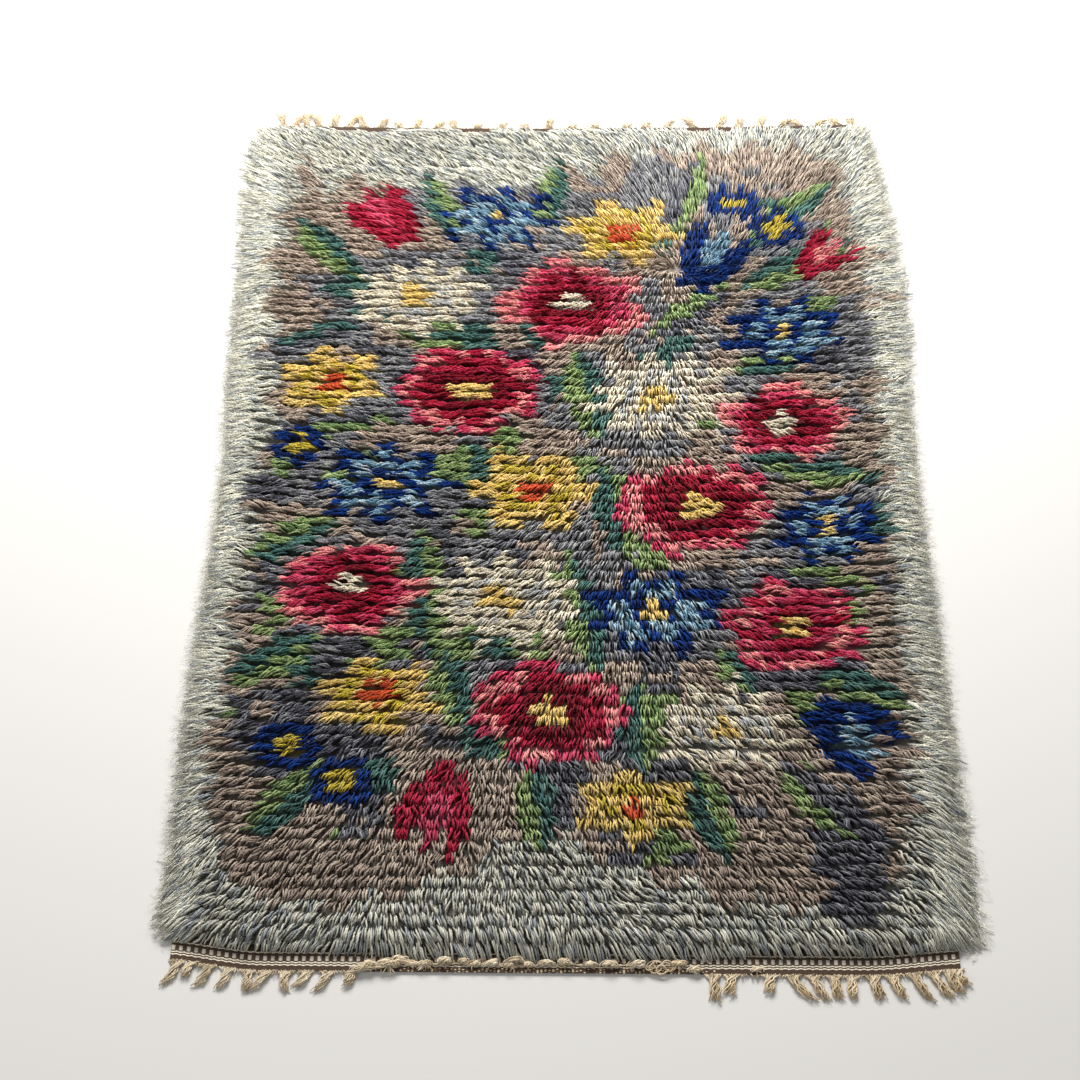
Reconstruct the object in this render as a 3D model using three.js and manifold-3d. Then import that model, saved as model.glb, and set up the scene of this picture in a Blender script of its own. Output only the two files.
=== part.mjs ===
// A rya rug lying flat on the floor: a woven ground with a shaggy knotted pile, a woven heading at
// each end, and the warp ends left as short fringe beyond the headings.
// Units are millimetres. +Z is up, +X runs along the knot rows, and -Y is the near end.

import * as THREE from "three";
import { mergeVertices } from "three/addons/utils/BufferGeometryUtils.js";
import Module from "manifold-3d";

// Woven ground
const GROUND_WIDTH = 900;
const GROUND_LENGTH = 1320;
const CLOTH_THICK = 3;
const NEAR_HEADING = 28;
const FAR_HEADING = 14;
const SEAM = 0.3;
const EDGE_STEP = 37.5;

// How far each end departs from a straight line
const NEAR_CORNER_PULL = { left: 13, right: 9, reach: 110 };
const FAR_MIDDLE_SAG = 7;

// Pile
const PILE_BOTTOM = CLOTH_THICK + SEAM;
const PILE_TOP = 20.5;
const PILE_RIM_TOP = 12;
const PILE_SIDE_OVERHANG = 20;
const PILE_END_OVERHANG = 2;
const PILE_ROUNDING = 42;
const RIB_PITCH = 44;
const RIB_HEIGHT = 1.9;
const LUMP_HEIGHT = 2.9;
const PILE_COLUMNS = 18;
const CREASE = { y: -383, depth: 6, halfWidth: 26, from: -190, to: 470 };

// Locks of yarn that hang over the rim of the pile. A lock starts inside the slab and comes down
// to what it rests on: share is of its reach beyond the slab, and width is of the lock's own.
const LOCK_PITCH = 33;
const LOCK_WIDTH = 29;
const LOCK_CROWN = { least: 8.6, most: 10.2 };
const LOCK_ROOT = { out: -9, width: 0.7, halfHeight: 3.4 };
const LOCK_SHOULDER = { out: 2, width: 1, halfHeight: 4 };
const LOCK_FALL = { share: 0.6, width: 0.85, halfHeight: 3.2, above: 0.7 };
const LOCK_TIP = { share: 1, width: 0.3, halfHeight: 1, above: 0 };
const SIDE_LOCK_REACH = { least: 14, most: 31 };
const NEAR_LOCK_REACH = { least: 2.5, most: 5 };
const FAR_LOCK_REACH = { least: 7, most: 10.5 };

// Fringe
const TUFT_PITCH = 21.5;
const TUFT_ROOT_WIDTH = 13;
const BACKING_DEPTH = 3;
const BACKING_HEIGHT = 2;

// A tuft that lies out on the floor: a fanned root, a neck, then the frayed tail
const TUFT_LYING = [
  { share: 0, halfWidth: 6.1, halfHeight: 0.8 },
  { share: 0.16, halfWidth: 6.5, halfHeight: 0.9 },
  { share: 0.36, halfWidth: 2.7, halfHeight: 2.1 },
  { share: 0.72, halfWidth: 3.2, halfHeight: 1.7 },
  { share: 1, halfWidth: 1, halfHeight: 0.7 },
];

// A tuft turned back over the heading: two thin ends rise round its edge, then come to a knot.
// Its length is measured from the backing, and above is the height of its middle over the heading.
const TUFT_RISE = [
  { y: 0.5, above: -2.3, halfWidth: 2.2, halfHeight: 0.9 },
  { y: 2, above: 1.3, halfWidth: 2.2, halfHeight: 1.1 },
];
const TUFT_KNOT = [
  { share: 0.44, above: 1.5, halfWidth: 2.4, halfHeight: 1.3 },
  { share: 0.58, above: 3.3, halfWidth: 6, halfHeight: 3 },
  { share: 0.86, above: 2.9, halfWidth: 5.6, halfHeight: 2.7 },
  { share: 1, above: 1.3, halfWidth: 2.5, halfHeight: 1.2 },
];
const TUFT_SCALE = { least: 0.78, most: 1.12 };
const TUFT_LEAN_SPREAD = 5;
const TUFT_PLACE_SPREAD = 4;
const TUFT_CURVE = 1.4;

// Stretches of each fringe, left to right: where each lies along the edge, how long its tufts are
// and how far their tips lean along the edge, at its first tuft and at its last. The near fringe has a
// backing for each stretch, and the far one has one backing for all.
const NEAR_STRETCHES = [
  { name: "near_fringe_left", from: -450, to: -215, folded: false, length: 33, lean: [-12, -10] },
  { name: "near_fringe_knots", from: -215, to: 172, folded: true, length: 19.5, lean: [-4, -4] },
  { name: "near_fringe_right", from: 172, to: 450, folded: false, length: 32, lean: [2, 16] },
];
const FAR_STRETCHES = [
  { from: -450, to: -290, folded: false, length: 27, lean: [3, 7] },
  { from: -290, to: 30, folded: false, length: 15, lean: [7, 7] },
  { from: 30, to: 170, folded: false, length: 20, lean: [-1, -5] },
  { from: 170, to: 290, folded: false, length: 28, lean: [-5, -7] },
  { from: 290, to: 450, folded: false, length: 19, lean: [3, 3] },
];

// Which way the rim locks lean, as degrees from +X, along each side from its first to its last end
const LEAN = {
  left: [{ at: -1, deg: 222 }, { at: -0.5, deg: 196 }, { at: 0.1, deg: 178 }, { at: 1, deg: 140 }],
  right: [{ at: -1, deg: -48 }, { at: -0.5, deg: -14 }, { at: 0.1, deg: 4 }, { at: 1, deg: 48 }],
  near: [{ at: -1, deg: 232 }, { at: -0.5, deg: 268 }, { at: 0.3, deg: 292 }, { at: 1, deg: 312 }],
  far: [{ at: -1, deg: 138 }, { at: 0, deg: 124 }, { at: 0.7, deg: 94 }, { at: 1, deg: 58 }],
};

const wasm = await Module();
wasm.setup();

// Seeded noise, so that every build is the same
function makeRandom(seed) {
  let state = seed;
  return () => {
    state = (state * 1664525 + 1013904223) % 4294967296;
    return state / 4294967296;
  };
}

function between(random, range) {
  return range.least + (range.most - range.least) * random();
}

function smoothStep(from, to, value) {
  const t = THREE.MathUtils.clamp((value - from) / (to - from), 0, 1);
  return t * t * (3 - 2 * t);
}

function leanAt(table, at) {
  for (let i = 1; i < table.length; i += 1) {
    if (at <= table[i].at) {
      const t = smoothStep(table[i - 1].at, table[i].at, at);
      return THREE.MathUtils.lerp(table[i - 1].deg, table[i].deg, t);
    }
  }
  return table[table.length - 1].deg;
}

// The two woven ends, as y over x
function nearEdge(x) {
  const { left, right, reach } = NEAR_CORNER_PULL;
  const half = GROUND_WIDTH / 2;
  const pull = x < 0 ? left : right;
  return -GROUND_LENGTH / 2 + pull * smoothStep(half - reach, half + reach * 0.2, Math.abs(x));
}

function farEdge(x) {
  return GROUND_LENGTH / 2 - FAR_MIDDLE_SAG * Math.cos((Math.PI * x) / GROUND_WIDTH);
}

// Flat strips of cloth between two edges that are functions of x
function strip(low, high, height, from = -GROUND_WIDTH / 2, to = GROUND_WIDTH / 2) {
  const steps = Math.round((to - from) / EDGE_STEP);
  const at = (i) => THREE.MathUtils.lerp(from, to, i / steps);
  const outline = [];
  for (let i = 0; i <= steps; i += 1) outline.push(new THREE.Vector2(at(i), low(at(i))));
  for (let i = steps; i >= 0; i -= 1) outline.push(new THREE.Vector2(at(i), high(at(i))));
  return new THREE.ExtrudeGeometry(new THREE.Shape(outline), { depth: height, bevelEnabled: false });
}

// A lock or tuft: a strand through stations of x, y, z, half width and half height. Its underside is
// flat, so that it lies level where its stations do.
const LOCK_SECTION = [[-1, -1], [1, -1], [0, 1]];
const TUFT_SECTION = [[-1, -1], [1, -1], [0.6, 1], [-0.6, 1]];

function strand(stations, section) {
  const sides = section.length;
  const positions = [];
  const triangles = [];
  stations.forEach((station, i) => {
    const before = stations[Math.max(i - 1, 0)];
    const after = stations[Math.min(i + 1, stations.length - 1)];
    const along = new THREE.Vector2(after.x - before.x, after.y - before.y).normalize();
    section.forEach(([across, up]) => {
      positions.push(
        station.x + along.y * across * station.halfWidth,
        station.y - along.x * across * station.halfWidth,
        station.z + up * station.halfHeight,
      );
    });
  });
  for (let i = 0; i + 1 < stations.length; i += 1) {
    for (let k = 0; k < sides; k += 1) {
      const a = i * sides + k;
      const b = i * sides + ((k + 1) % sides);
      triangles.push(a, a + sides, b, b, a + sides, b + sides);
    }
  }
  const last = (stations.length - 1) * sides;
  for (let k = 1; k + 1 < sides; k += 1) {
    triangles.push(0, k, k + 1);
    triangles.push(last, last + k + 1, last + k);
  }
  return indexed(positions, triangles);
}

function indexed(positions, triangles) {
  const geometry = new THREE.BufferGeometry();
  geometry.setAttribute("position", new THREE.Float32BufferAttribute(positions, 3));
  geometry.setIndex(triangles);
  return geometry;
}

function toSolid(geometry) {
  const bare = geometry.clone();
  bare.deleteAttribute("normal");
  bare.deleteAttribute("uv");
  const merged = mergeVertices(bare, 1e-3);
  return new wasm.Manifold(
    new wasm.Mesh({
      numProp: 3,
      vertProperties: Float32Array.from(merged.attributes.position.array),
      triVerts: Uint32Array.from(merged.index.array),
    }),
  );
}

// The outer skin of several solids joined, without the small closed hollows between them
function fused(geometries) {
  const whole = geometries.map(toSolid).reduce((sum, solid) => sum.add(solid));
  const skins = whole.decompose().sort((a, b) => b.volume() - a.volume());
  const mesh = skins[0].getMesh();
  return indexed(Array.from(mesh.vertProperties), Array.from(mesh.triVerts));
}

// The pile's own outline and height
const PILE_HALF_WIDTH = GROUND_WIDTH / 2 + PILE_SIDE_OVERHANG;

function pileNear(x) {
  return nearEdge(x) + NEAR_HEADING - PILE_END_OVERHANG;
}

function pileFar(x) {
  return farEdge(x) - FAR_HEADING + PILE_END_OVERHANG;
}

function pileHeight(x, y, random) {
  const inset = Math.min(
    PILE_HALF_WIDTH - Math.abs(x),
    y - pileNear(x),
    pileFar(x) - y,
  );
  const body = THREE.MathUtils.lerp(PILE_RIM_TOP, PILE_TOP, smoothStep(-6, PILE_ROUNDING, inset));
  const rib = RIB_HEIGHT * Math.cos((2 * Math.PI * y) / RIB_PITCH);
  const lump = LUMP_HEIGHT * (2 * random() - 1);
  const along = smoothStep(CREASE.from - 60, CREASE.from, x);
  const across = 1 - smoothStep(0, CREASE.halfWidth, Math.abs(y - CREASE.y));
  return body + rib + lump - CREASE.depth * across * along;
}

function pileSlab() {
  const random = makeRandom(7);
  const rows = Math.round((GROUND_LENGTH - NEAR_HEADING - FAR_HEADING) / (RIB_PITCH / 2));
  const across = PILE_COLUMNS + 1;
  const positions = [];
  const triangles = [];
  for (let j = 0; j <= rows; j += 1) {
    for (let i = 0; i <= PILE_COLUMNS; i += 1) {
      const x = PILE_HALF_WIDTH * ((2 * i) / PILE_COLUMNS - 1);
      const y = THREE.MathUtils.lerp(pileNear(x), pileFar(x), j / rows);
      positions.push(x, y, pileHeight(x, y, random));
    }
  }
  for (let j = 0; j < rows; j += 1) {
    for (let i = 0; i < PILE_COLUMNS; i += 1) {
      const a = j * across + i;
      triangles.push(a, a + 1, a + across, a + 1, a + across + 1, a + across);
    }
  }
  // The side wall and the flat underside go round the rim once
  const rim = [];
  for (let i = 0; i < PILE_COLUMNS; i += 1) rim.push(i);
  for (let j = 0; j < rows; j += 1) rim.push(j * across + PILE_COLUMNS);
  for (let i = PILE_COLUMNS; i > 0; i -= 1) rim.push(rows * across + i);
  for (let j = rows; j > 0; j -= 1) rim.push(j * across);
  const first = positions.length / 3;
  rim.forEach((top) => positions.push(positions[3 * top], positions[3 * top + 1], PILE_BOTTOM));
  const middle = positions.length / 3;
  positions.push(0, 0, PILE_BOTTOM);
  rim.forEach((top, k) => {
    const next = (k + 1) % rim.length;
    triangles.push(first + k, first + next, top, first + next, rim[next], top);
    triangles.push(middle, first + next, first + k);
  });
  return indexed(positions, triangles);
}

// One rim lock. A side lock comes down to rest on the floor, and an end lock stays on top of the
// heading.
function rimLock(x, y, degrees, reach, restsOn, random) {
  const angle = THREE.MathUtils.degToRad(degrees);
  const half = (LOCK_WIDTH / 2) * (0.8 + 0.4 * random());
  const crown = between(random, LOCK_CROWN);
  const upper = [LOCK_ROOT, LOCK_SHOULDER].map((s) => ({ ...s, z: crown }));
  const lower = [LOCK_FALL, LOCK_TIP].map((s) => ({
    ...s,
    out: reach * s.share,
    z: restsOn + s.above + s.halfHeight,
  }));
  const stations = [...upper, ...lower].map((s) => ({
    x: x + Math.cos(angle) * s.out,
    y: y + Math.sin(angle) * s.out,
    z: s.z,
    halfWidth: half * s.width,
    halfHeight: s.halfHeight,
  }));
  return strand(stations, LOCK_SECTION);
}

function rimLocks() {
  const random = makeRandom(23);
  const locks = [];
  const sideLength = GROUND_LENGTH - NEAR_HEADING - FAR_HEADING;
  const sideCount = Math.round(sideLength / LOCK_PITCH);
  const endCount = Math.round((2 * PILE_HALF_WIDTH) / LOCK_PITCH);
  for (const side of ["left", "right"]) {
    const x = side === "left" ? -PILE_HALF_WIDTH : PILE_HALF_WIDTH;
    for (let k = 0; k < sideCount; k += 1) {
      const share = (k + 0.5 + 0.3 * (random() - 0.5)) / sideCount;
      const y = THREE.MathUtils.lerp(pileNear(x), pileFar(x), share);
      const degrees = leanAt(LEAN[side], 2 * share - 1) + 14 * (random() - 0.5);
      locks.push(rimLock(x, y, degrees, between(random, SIDE_LOCK_REACH), 0, random));
    }
  }
  for (const end of ["near", "far"]) {
    const reach = end === "near" ? NEAR_LOCK_REACH : FAR_LOCK_REACH;
    for (let k = 0; k < endCount; k += 1) {
      const share = (k + 0.5 + 0.3 * (random() - 0.5)) / endCount;
      const x = PILE_HALF_WIDTH * (2 * share - 1);
      const y = end === "near" ? pileNear(x) : pileFar(x);
      const degrees = leanAt(LEAN[end], 2 * share - 1) + 10 * (random() - 0.5);
      locks.push(rimLock(x, y, degrees, between(random, reach), PILE_BOTTOM, random));
    }
  }
  return locks;
}

// Fringe: a narrow backing against the heading's edge, with a tuft of warp ends at every pitch
function backing(edge, outwards, from, to) {
  const inner = (x) => edge(x) + outwards * SEAM;
  const outer = (x) => edge(x) + outwards * (SEAM + BACKING_DEPTH);
  const [low, high] = outwards < 0 ? [outer, inner] : [inner, outer];
  return strip(low, high, BACKING_HEIGHT, from, to);
}

function tuftLying(x, edge, outwards, length, lean) {
  const y0 = edge(x) + outwards * (SEAM + BACKING_DEPTH / 2);
  const stations = TUFT_LYING.map((s) => ({
    ...s,
    x: x + lean * s.share ** TUFT_CURVE,
    y: y0 + outwards * length * s.share,
    z: s.halfHeight,
  }));
  return strand(stations, TUFT_SECTION);
}

function tuftFolded(x, edge, length, lean, scale) {
  const y0 = edge(x) - SEAM - BACKING_DEPTH;
  const knot = TUFT_KNOT.map((s) => ({
    ...s,
    y: length * s.share,
    halfWidth: s.halfWidth * scale,
  }));
  const stations = [...TUFT_RISE, ...knot].map((s) => ({
    ...s,
    x: x + (lean * s.y) / length,
    y: y0 + s.y,
    z: CLOTH_THICK + SEAM + s.above,
  }));
  return strand(stations, TUFT_SECTION);
}

function fringe(edge, outwards, stretches, seed) {
  const random = makeRandom(seed);
  const { from } = stretches[0];
  const { to } = stretches[stretches.length - 1];
  const half = GROUND_WIDTH / 2;
  const start = from > -half ? from + SEAM / 2 : from;
  const end = to < half ? to - SEAM / 2 : to;
  const pieces = [backing(edge, outwards, start, end)];
  const count = Math.floor((GROUND_WIDTH - TUFT_ROOT_WIDTH) / TUFT_PITCH);
  for (let k = 0; k <= count; k += 1) {
    const place = (k - count / 2) * TUFT_PITCH;
    const stretch = stretches.find((s) => place >= s.from && place < s.to);
    if (!stretch) continue;
    const x = place + TUFT_PLACE_SPREAD * (random() - 0.5);
    const scale = between(random, TUFT_SCALE);
    const share = (place - stretch.from) / (stretch.to - stretch.from);
    const lean = THREE.MathUtils.lerp(...stretch.lean, share) + TUFT_LEAN_SPREAD * (random() - 0.5);
    const tuft = stretch.folded
      ? tuftFolded(x, edge, stretch.length, lean, scale)
      : tuftLying(x, edge, outwards, stretch.length * scale, lean);
    pieces.push(tuft);
  }
  return fused(pieces);
}

// Pieces, each with the colour and finish of its yarn
function piece(name, geometry, color, roughness) {
  const material = new THREE.MeshStandardMaterial({ color, roughness, metalness: 0 });
  const mesh = new THREE.Mesh(geometry, material);
  mesh.name = name;
  return mesh;
}

const nearInner = (x) => nearEdge(x) + NEAR_HEADING;
const farInner = (x) => farEdge(x) - FAR_HEADING;

const groundWeave = strip((x) => nearInner(x) + SEAM, (x) => farInner(x) - SEAM, CLOTH_THICK);
const nearHeading = strip(nearEdge, nearInner, CLOTH_THICK);
const farHeading = strip(farInner, farEdge, CLOTH_THICK);
const pile = fused([pileSlab(), ...rimLocks()]);
const farFringe = fringe(farEdge, 1, FAR_STRETCHES, 47);

const pieces = new THREE.Group();
pieces.add(
  piece("ground_weave", groundWeave, 0x6b5a4b, 0.95),
  piece("near_heading", nearHeading, 0x35261f, 0.95),
  piece("far_heading", farHeading, 0x35261f, 0.95),
  piece("pile", pile, 0x9a9a92, 0.95),
  piece("far_fringe", farFringe, 0xc9b490, 0.95),
);
NEAR_STRETCHES.forEach((stretch, i) => {
  pieces.add(piece(stretch.name, fringe(nearEdge, -1, [stretch], 31 + i), 0xc9b490, 0.95));
});

// The origin is under the middle of everything, on the floor
const extent = new THREE.Box3().setFromObject(pieces);
pieces.position.set(-(extent.min.x + extent.max.x) / 2, -(extent.min.y + extent.max.y) / 2, 0);

const rug = new THREE.Group();
rug.add(pieces);

export default rug;
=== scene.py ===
# %% [markdown]
# # A hand-knotted rya rug
# A rya is made on a loom. A row of woollen knots is tied over the warp, several picks of weft are
# woven in front of it, and so on, row after row. The knots' cut ends are the shaggy pile, the woven
# part between them is the ground, and each end of the rug is a tight woven heading with the warp
# left as fringe. This lesson builds those pieces round a fixed frame that already has the real size.

# %% Load the frame
import math

import bpy
import numpy as np
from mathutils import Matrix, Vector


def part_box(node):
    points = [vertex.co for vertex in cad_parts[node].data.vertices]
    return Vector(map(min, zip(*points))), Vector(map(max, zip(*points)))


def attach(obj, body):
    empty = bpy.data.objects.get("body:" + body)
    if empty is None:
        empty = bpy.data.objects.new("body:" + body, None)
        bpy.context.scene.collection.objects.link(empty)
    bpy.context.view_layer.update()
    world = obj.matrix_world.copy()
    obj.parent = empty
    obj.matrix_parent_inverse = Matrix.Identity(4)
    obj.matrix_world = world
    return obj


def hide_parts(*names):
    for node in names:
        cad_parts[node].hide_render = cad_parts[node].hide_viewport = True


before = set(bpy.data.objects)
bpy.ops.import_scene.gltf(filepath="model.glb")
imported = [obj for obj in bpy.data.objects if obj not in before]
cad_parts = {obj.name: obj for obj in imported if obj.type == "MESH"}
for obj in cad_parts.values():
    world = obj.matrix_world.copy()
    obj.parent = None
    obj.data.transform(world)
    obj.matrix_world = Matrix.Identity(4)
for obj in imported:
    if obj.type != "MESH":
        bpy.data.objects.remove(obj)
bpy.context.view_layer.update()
for cad_object in bpy.context.selected_objects:
    cad_object.select_set(False)
print("frame nodes:", sorted(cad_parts))

# %% [markdown]
# ## Sizes
# Blender works in metres, and a rug is easier to think about in millimetres, so every piece is
# worked out in millimetres from the middle of the woven ground and turned into metres once, when its
# mesh is made. The ground's place comes from the frame. Its two ends aren't quite straight: the near
# corners are drawn in, and the middle of the far end sags a little.

# %% The woven ground, in millimetres
MM = 0.001
GROUND_WIDTH = 900.0
GROUND_LENGTH = 1320.0
NEAR_HEADING = 28.0
FAR_HEADING = 14.0
CLOTH_THICK = 3.0
SEAM = 0.3
NEAR_PULL_LEFT = 13.0
NEAR_PULL_RIGHT = 9.0
NEAR_PULL_REACH = 110.0
FAR_SAG = 7.0

ground_low, ground_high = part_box("ground_weave")
near_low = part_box("near_heading")[0]
MIDDLE = np.array([
    (ground_low[0] + ground_high[0]) / 2,
    near_low[1] + GROUND_LENGTH / 2 * MM,
    0.0,
])


def smooth_step(start, end, value):
    share = np.clip((value - start) / (end - start), 0, 1)
    return share * share * (3 - 2 * share)


def near_edge(x):
    half = GROUND_WIDTH / 2
    pull = np.where(x < 0, NEAR_PULL_LEFT, NEAR_PULL_RIGHT)
    drawn_in = smooth_step(half - NEAR_PULL_REACH, half + 0.2 * NEAR_PULL_REACH, np.abs(x))
    return -GROUND_LENGTH / 2 + pull * drawn_in


def far_edge(x):
    return GROUND_LENGTH / 2 - FAR_SAG * np.cos(np.pi * x / GROUND_WIDTH)


def near_inner(x):
    return near_edge(x) + NEAR_HEADING


def far_inner(x):
    return far_edge(x) - FAR_HEADING


print("middle of the ground at", MIDDLE.round(4))

# %% [markdown]
# ## Camera
# The photo was taken by someone standing at the near end and looking down at about 59 degrees. A
# camera solved from the four corners of the ground gives the lens, the place and a slight roll.

# %% Camera
LENS_MM = 52.835
CAMERA_FROM_MIDDLE = (0.00798, -1.15155, 1.8012)
CAMERA_TURN_DEG = (30.55757, 0.89371, 0.71869)

camera_data = bpy.data.cameras.new("camera")
camera_data.lens = LENS_MM
camera_data.sensor_width = 36
camera_data.clip_end = 50
camera = bpy.data.objects.new("camera", camera_data)
bpy.context.scene.collection.objects.link(camera)
camera.location = [MIDDLE[i] + CAMERA_FROM_MIDDLE[i] for i in range(3)]
camera.rotation_euler = [math.radians(angle) for angle in CAMERA_TURN_DEG]
bpy.context.scene.camera = camera
print("camera at", [round(value, 3) for value in camera.location])

# %% [markdown]
# ## Colours and nodes
# A colour picked from a dye card is an sRGB hex value, and Blender's shaders add up light, so each
# hex value is turned to linear once. One small function adds a shader node with its settings and
# its links, which keeps every material readable from top to bottom. An input is named as Blender
# names it, with _ for a space, or by its number, as in _0. What goes into it is a number, a colour, a
# socket, or a node, which stands for that node's first output.


# %% Helpers for materials
def linear(hex_colour):
    channels = [int(hex_colour[i:i + 2], 16) / 255 for i in (1, 3, 5)]
    return [c / 12.92 if c <= 0.04045 else ((c + 0.055) / 1.055) ** 2.4 for c in channels]


def add_node(tree, kind, settings=None, **inputs):
    node = tree.nodes.new(kind)
    for name, value in (settings or {}).items():
        setattr(node, name, value)
    for name, value in inputs.items():
        socket = node.inputs[int(name[1:]) if name[0] == "_" else name.replace("_", " ")]
        if isinstance(value, bpy.types.Node):
            value = value.outputs[0]
        if isinstance(value, bpy.types.NodeSocket):
            tree.links.new(value, socket)
        else:
            socket.default_value = value
    return node


def new_material(name):
    material = bpy.data.materials.new(name)
    material.use_nodes = True
    tree = material.node_tree
    tree.nodes.clear()
    return material, tree


print("mid grey as light:", round(linear("#808080")[0], 3))

# %% [markdown]
# ## The yarns
# Rya wool is dyed in hanks, and two or three shades of near colours are tied together in one knot,
# so that an area is never flat. Each yarn colour here is a short list of shades and how often each
# is drawn.

# %% Yarn shades, by name
YARNS = {
    "border": [("#E4E2D4", 0.44), ("#CBCBBF", 0.34), ("#A6ACAF", 0.22)],
    "taupe": [("#BEAD9F", 0.45), ("#A39286", 0.35), ("#CFC0AE", 0.2)],
    "charcoal": [("#6A6B75", 0.45), ("#4E4F5A", 0.22), ("#94959B", 0.33)],
    "ash": [("#95959A", 0.45), ("#797A81", 0.33), ("#B6B6B2", 0.22)],
    "wine": [("#800D26", 0.6), ("#9A1430", 0.4)],
    "crimson": [("#AE1A3C", 0.6), ("#C42C50", 0.4)],
    "rose": [("#DA5678", 0.6), ("#C83A5C", 0.4)],
    "salmon": [("#F6A9A4", 0.6), ("#EA8690", 0.4)],
    "cream": [("#F0E7D2", 0.6), ("#E0D5BD", 0.3), ("#C9C9C3", 0.1)],
    "silver": [("#D2D4D1", 0.5), ("#B0B7BD", 0.3), ("#C8BEB0", 0.2)],
    "gold": [("#F1D68C", 0.65), ("#E5C471", 0.35)],
    "olive": [("#CBB640", 0.7), ("#DAC75E", 0.3)],
    "rust": [("#DC6038", 0.7), ("#C94E2C", 0.3)],
    "royal": [("#003A8C", 0.55), ("#00245E", 0.45)],
    "sky": [("#8FB2C6", 0.45), ("#6A93AC", 0.35), ("#C8D6DC", 0.2)],
    "leaf": [("#9CB077", 0.5), ("#74905C", 0.35), ("#B4C48C", 0.15)],
    "teal": [("#5A8279", 0.5), ("#3F6664", 0.35), ("#6F9489", 0.15)],
}
YARN_NAMES = list(YARNS)
print(len(YARNS), "yarns")

# %% [markdown]
# ## The chart
# The weaver works from a chart with one square for each knot. The knots here are 8.9 mm apart along
# a row and the rows 14.7 mm apart. The chart is an array with a yarn number for each knot, and the
# whole design is painted on it with a few shapes, the ground colours first. Knots are further apart
# one way than the other, so the shapes are worked out in millimetres and not in squares.

# %% The empty chart
COLUMNS = 101
ROWS = 87
row_number, column_number = np.mgrid[0:ROWS, 0:COLUMNS]
knot_x = ((column_number + 0.5) / COLUMNS - 0.5) * GROUND_WIDTH
knot_y = near_inner(knot_x) + (row_number + 0.5) / ROWS * (far_inner(knot_x) - near_inner(knot_x))
chart = np.zeros((ROWS, COLUMNS), int)
ROW_PITCH = float(np.diff(knot_y[:, COLUMNS // 2]).mean())
KNOT_PITCH = GROUND_WIDTH / COLUMNS


def paint(where, yarn):
    chart[where] = YARN_NAMES.index(yarn)


print(f"{ROWS * COLUMNS} knots, {KNOT_PITCH:.1f} by {ROW_PITCH:.1f} mm")


# %% [markdown]
# Nothing on a hand-made rug is quite even, so two kinds of unevenness are used all through. Soft
# noise is a sum of slow waves in all directions. Patches are short runs of a few knots in a row or
# two, the way a weaver fills the space between two flowers.

# %% Slow waves and short patches
WAVES = 7


def soft_noise(x, y, size, seed):
    """Slow, even waves in all directions, from about -1 to 1."""
    random = np.random.default_rng(seed)
    total = np.zeros(np.broadcast(x, y).shape)
    for _ in range(WAVES):
        angle, phase = random.uniform(0, 2 * np.pi, 2)
        length = size * random.uniform(0.7, 1.6)
        total += np.sin(2 * np.pi * (x * np.cos(angle) + y * np.sin(angle)) / length + phase)
    return total / 3


def patches(wide, tall, seed):
    """A random number from 0 to 1 for each patch of knots. The patches run along the rows."""
    random = np.random.default_rng(seed)
    course = np.floor(knot_y / tall).astype(int) + 200
    shift = random.uniform(0, 1, 400)[course] + 0.25 * random.uniform(-1, 1, ROWS)[row_number]
    place = np.floor(knot_x / wide + shift).astype(int) + 100
    return random.uniform(0, 1, (400, 200))[course, place]


print("patches from", patches(40, 30, 1).min().round(2), "to", patches(40, 30, 1).max().round(2))

# %% [markdown]
# A pale border runs all round, narrow at the sides and wide at some places of the two ends. Inside it
# is a taupe field with streaks, charcoal near by and grey towards the far end. Where two colours meet,
# the weaver lets one run into the other in ragged tongues. A tongue is a triangle wave whose height
# changes from one to the next. The pile lies outwards, so a colour shows about 20 mm further out than
# its knots are.

# %% Where the pale border ends
BORDER_AT_LEFT = [
    # y, how far in from the selvedge
    (-600, 84), (-530, 46), (-400, 26), (-250, 38), (-60, 54), (120, 62), (300, 36), (430, 42), (600, 70),
]
BORDER_AT_RIGHT = [
    (-600, 84), (-520, 54), (-400, 38), (-200, 34), (60, 32), (300, 30), (480, 38), (600, 60),
]
BORDER_AT_NEAR = [
    # x, how far in from the heading
    (-400, 72), (-300, 48), (-190, 56), (-70, 120), (20, 124), (110, 78), (220, 52), (330, 46), (400, 72),
]
BORDER_AT_FAR = [
    (-400, 90), (-350, 140), (-300, 90), (-240, 150), (-120, 170), (-40, 120), (60, 96), (120, 60),
    (300, 48), (400, 80),
]


def tongues(position, pitch, height, seed):
    step = position / pitch + 100
    whole = np.floor(step).astype(int)
    heights = np.random.default_rng(seed).uniform(0.25, 1, 300)[whole]
    return height * heights * (1 - np.abs(2 * (step - whole) - 1)) ** 1.3


def read_table(table, place):
    places, values = np.array(table).T
    return np.interp(place, places, values)


def past_border(inwards, table, place, spare, shift, pitch, height, seed):
    """Whether a knot lies further in than the border and its tongues."""
    return inwards > read_table(table, place) + spare - tongues(place + shift, pitch, height, seed)


paint(np.ones_like(chart, bool), "border")
taupe_field = (
    past_border(GROUND_WIDTH / 2 + knot_x, BORDER_AT_LEFT, knot_y, 14, 0, 84, 46, 1)
    & past_border(GROUND_WIDTH / 2 - knot_x, BORDER_AT_RIGHT, knot_y, 14, 40, 76, 44, 2)
    & past_border(knot_y - near_inner(knot_x), BORDER_AT_NEAR, knot_x, 16, 0, 74, 40, 3)
    & past_border(far_inner(knot_x) - knot_y, BORDER_AT_FAR, knot_x, 20, 20, 66, 60, 5)
)
paint(taupe_field, "taupe")
print("border knots:", int((~taupe_field).sum()))

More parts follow.
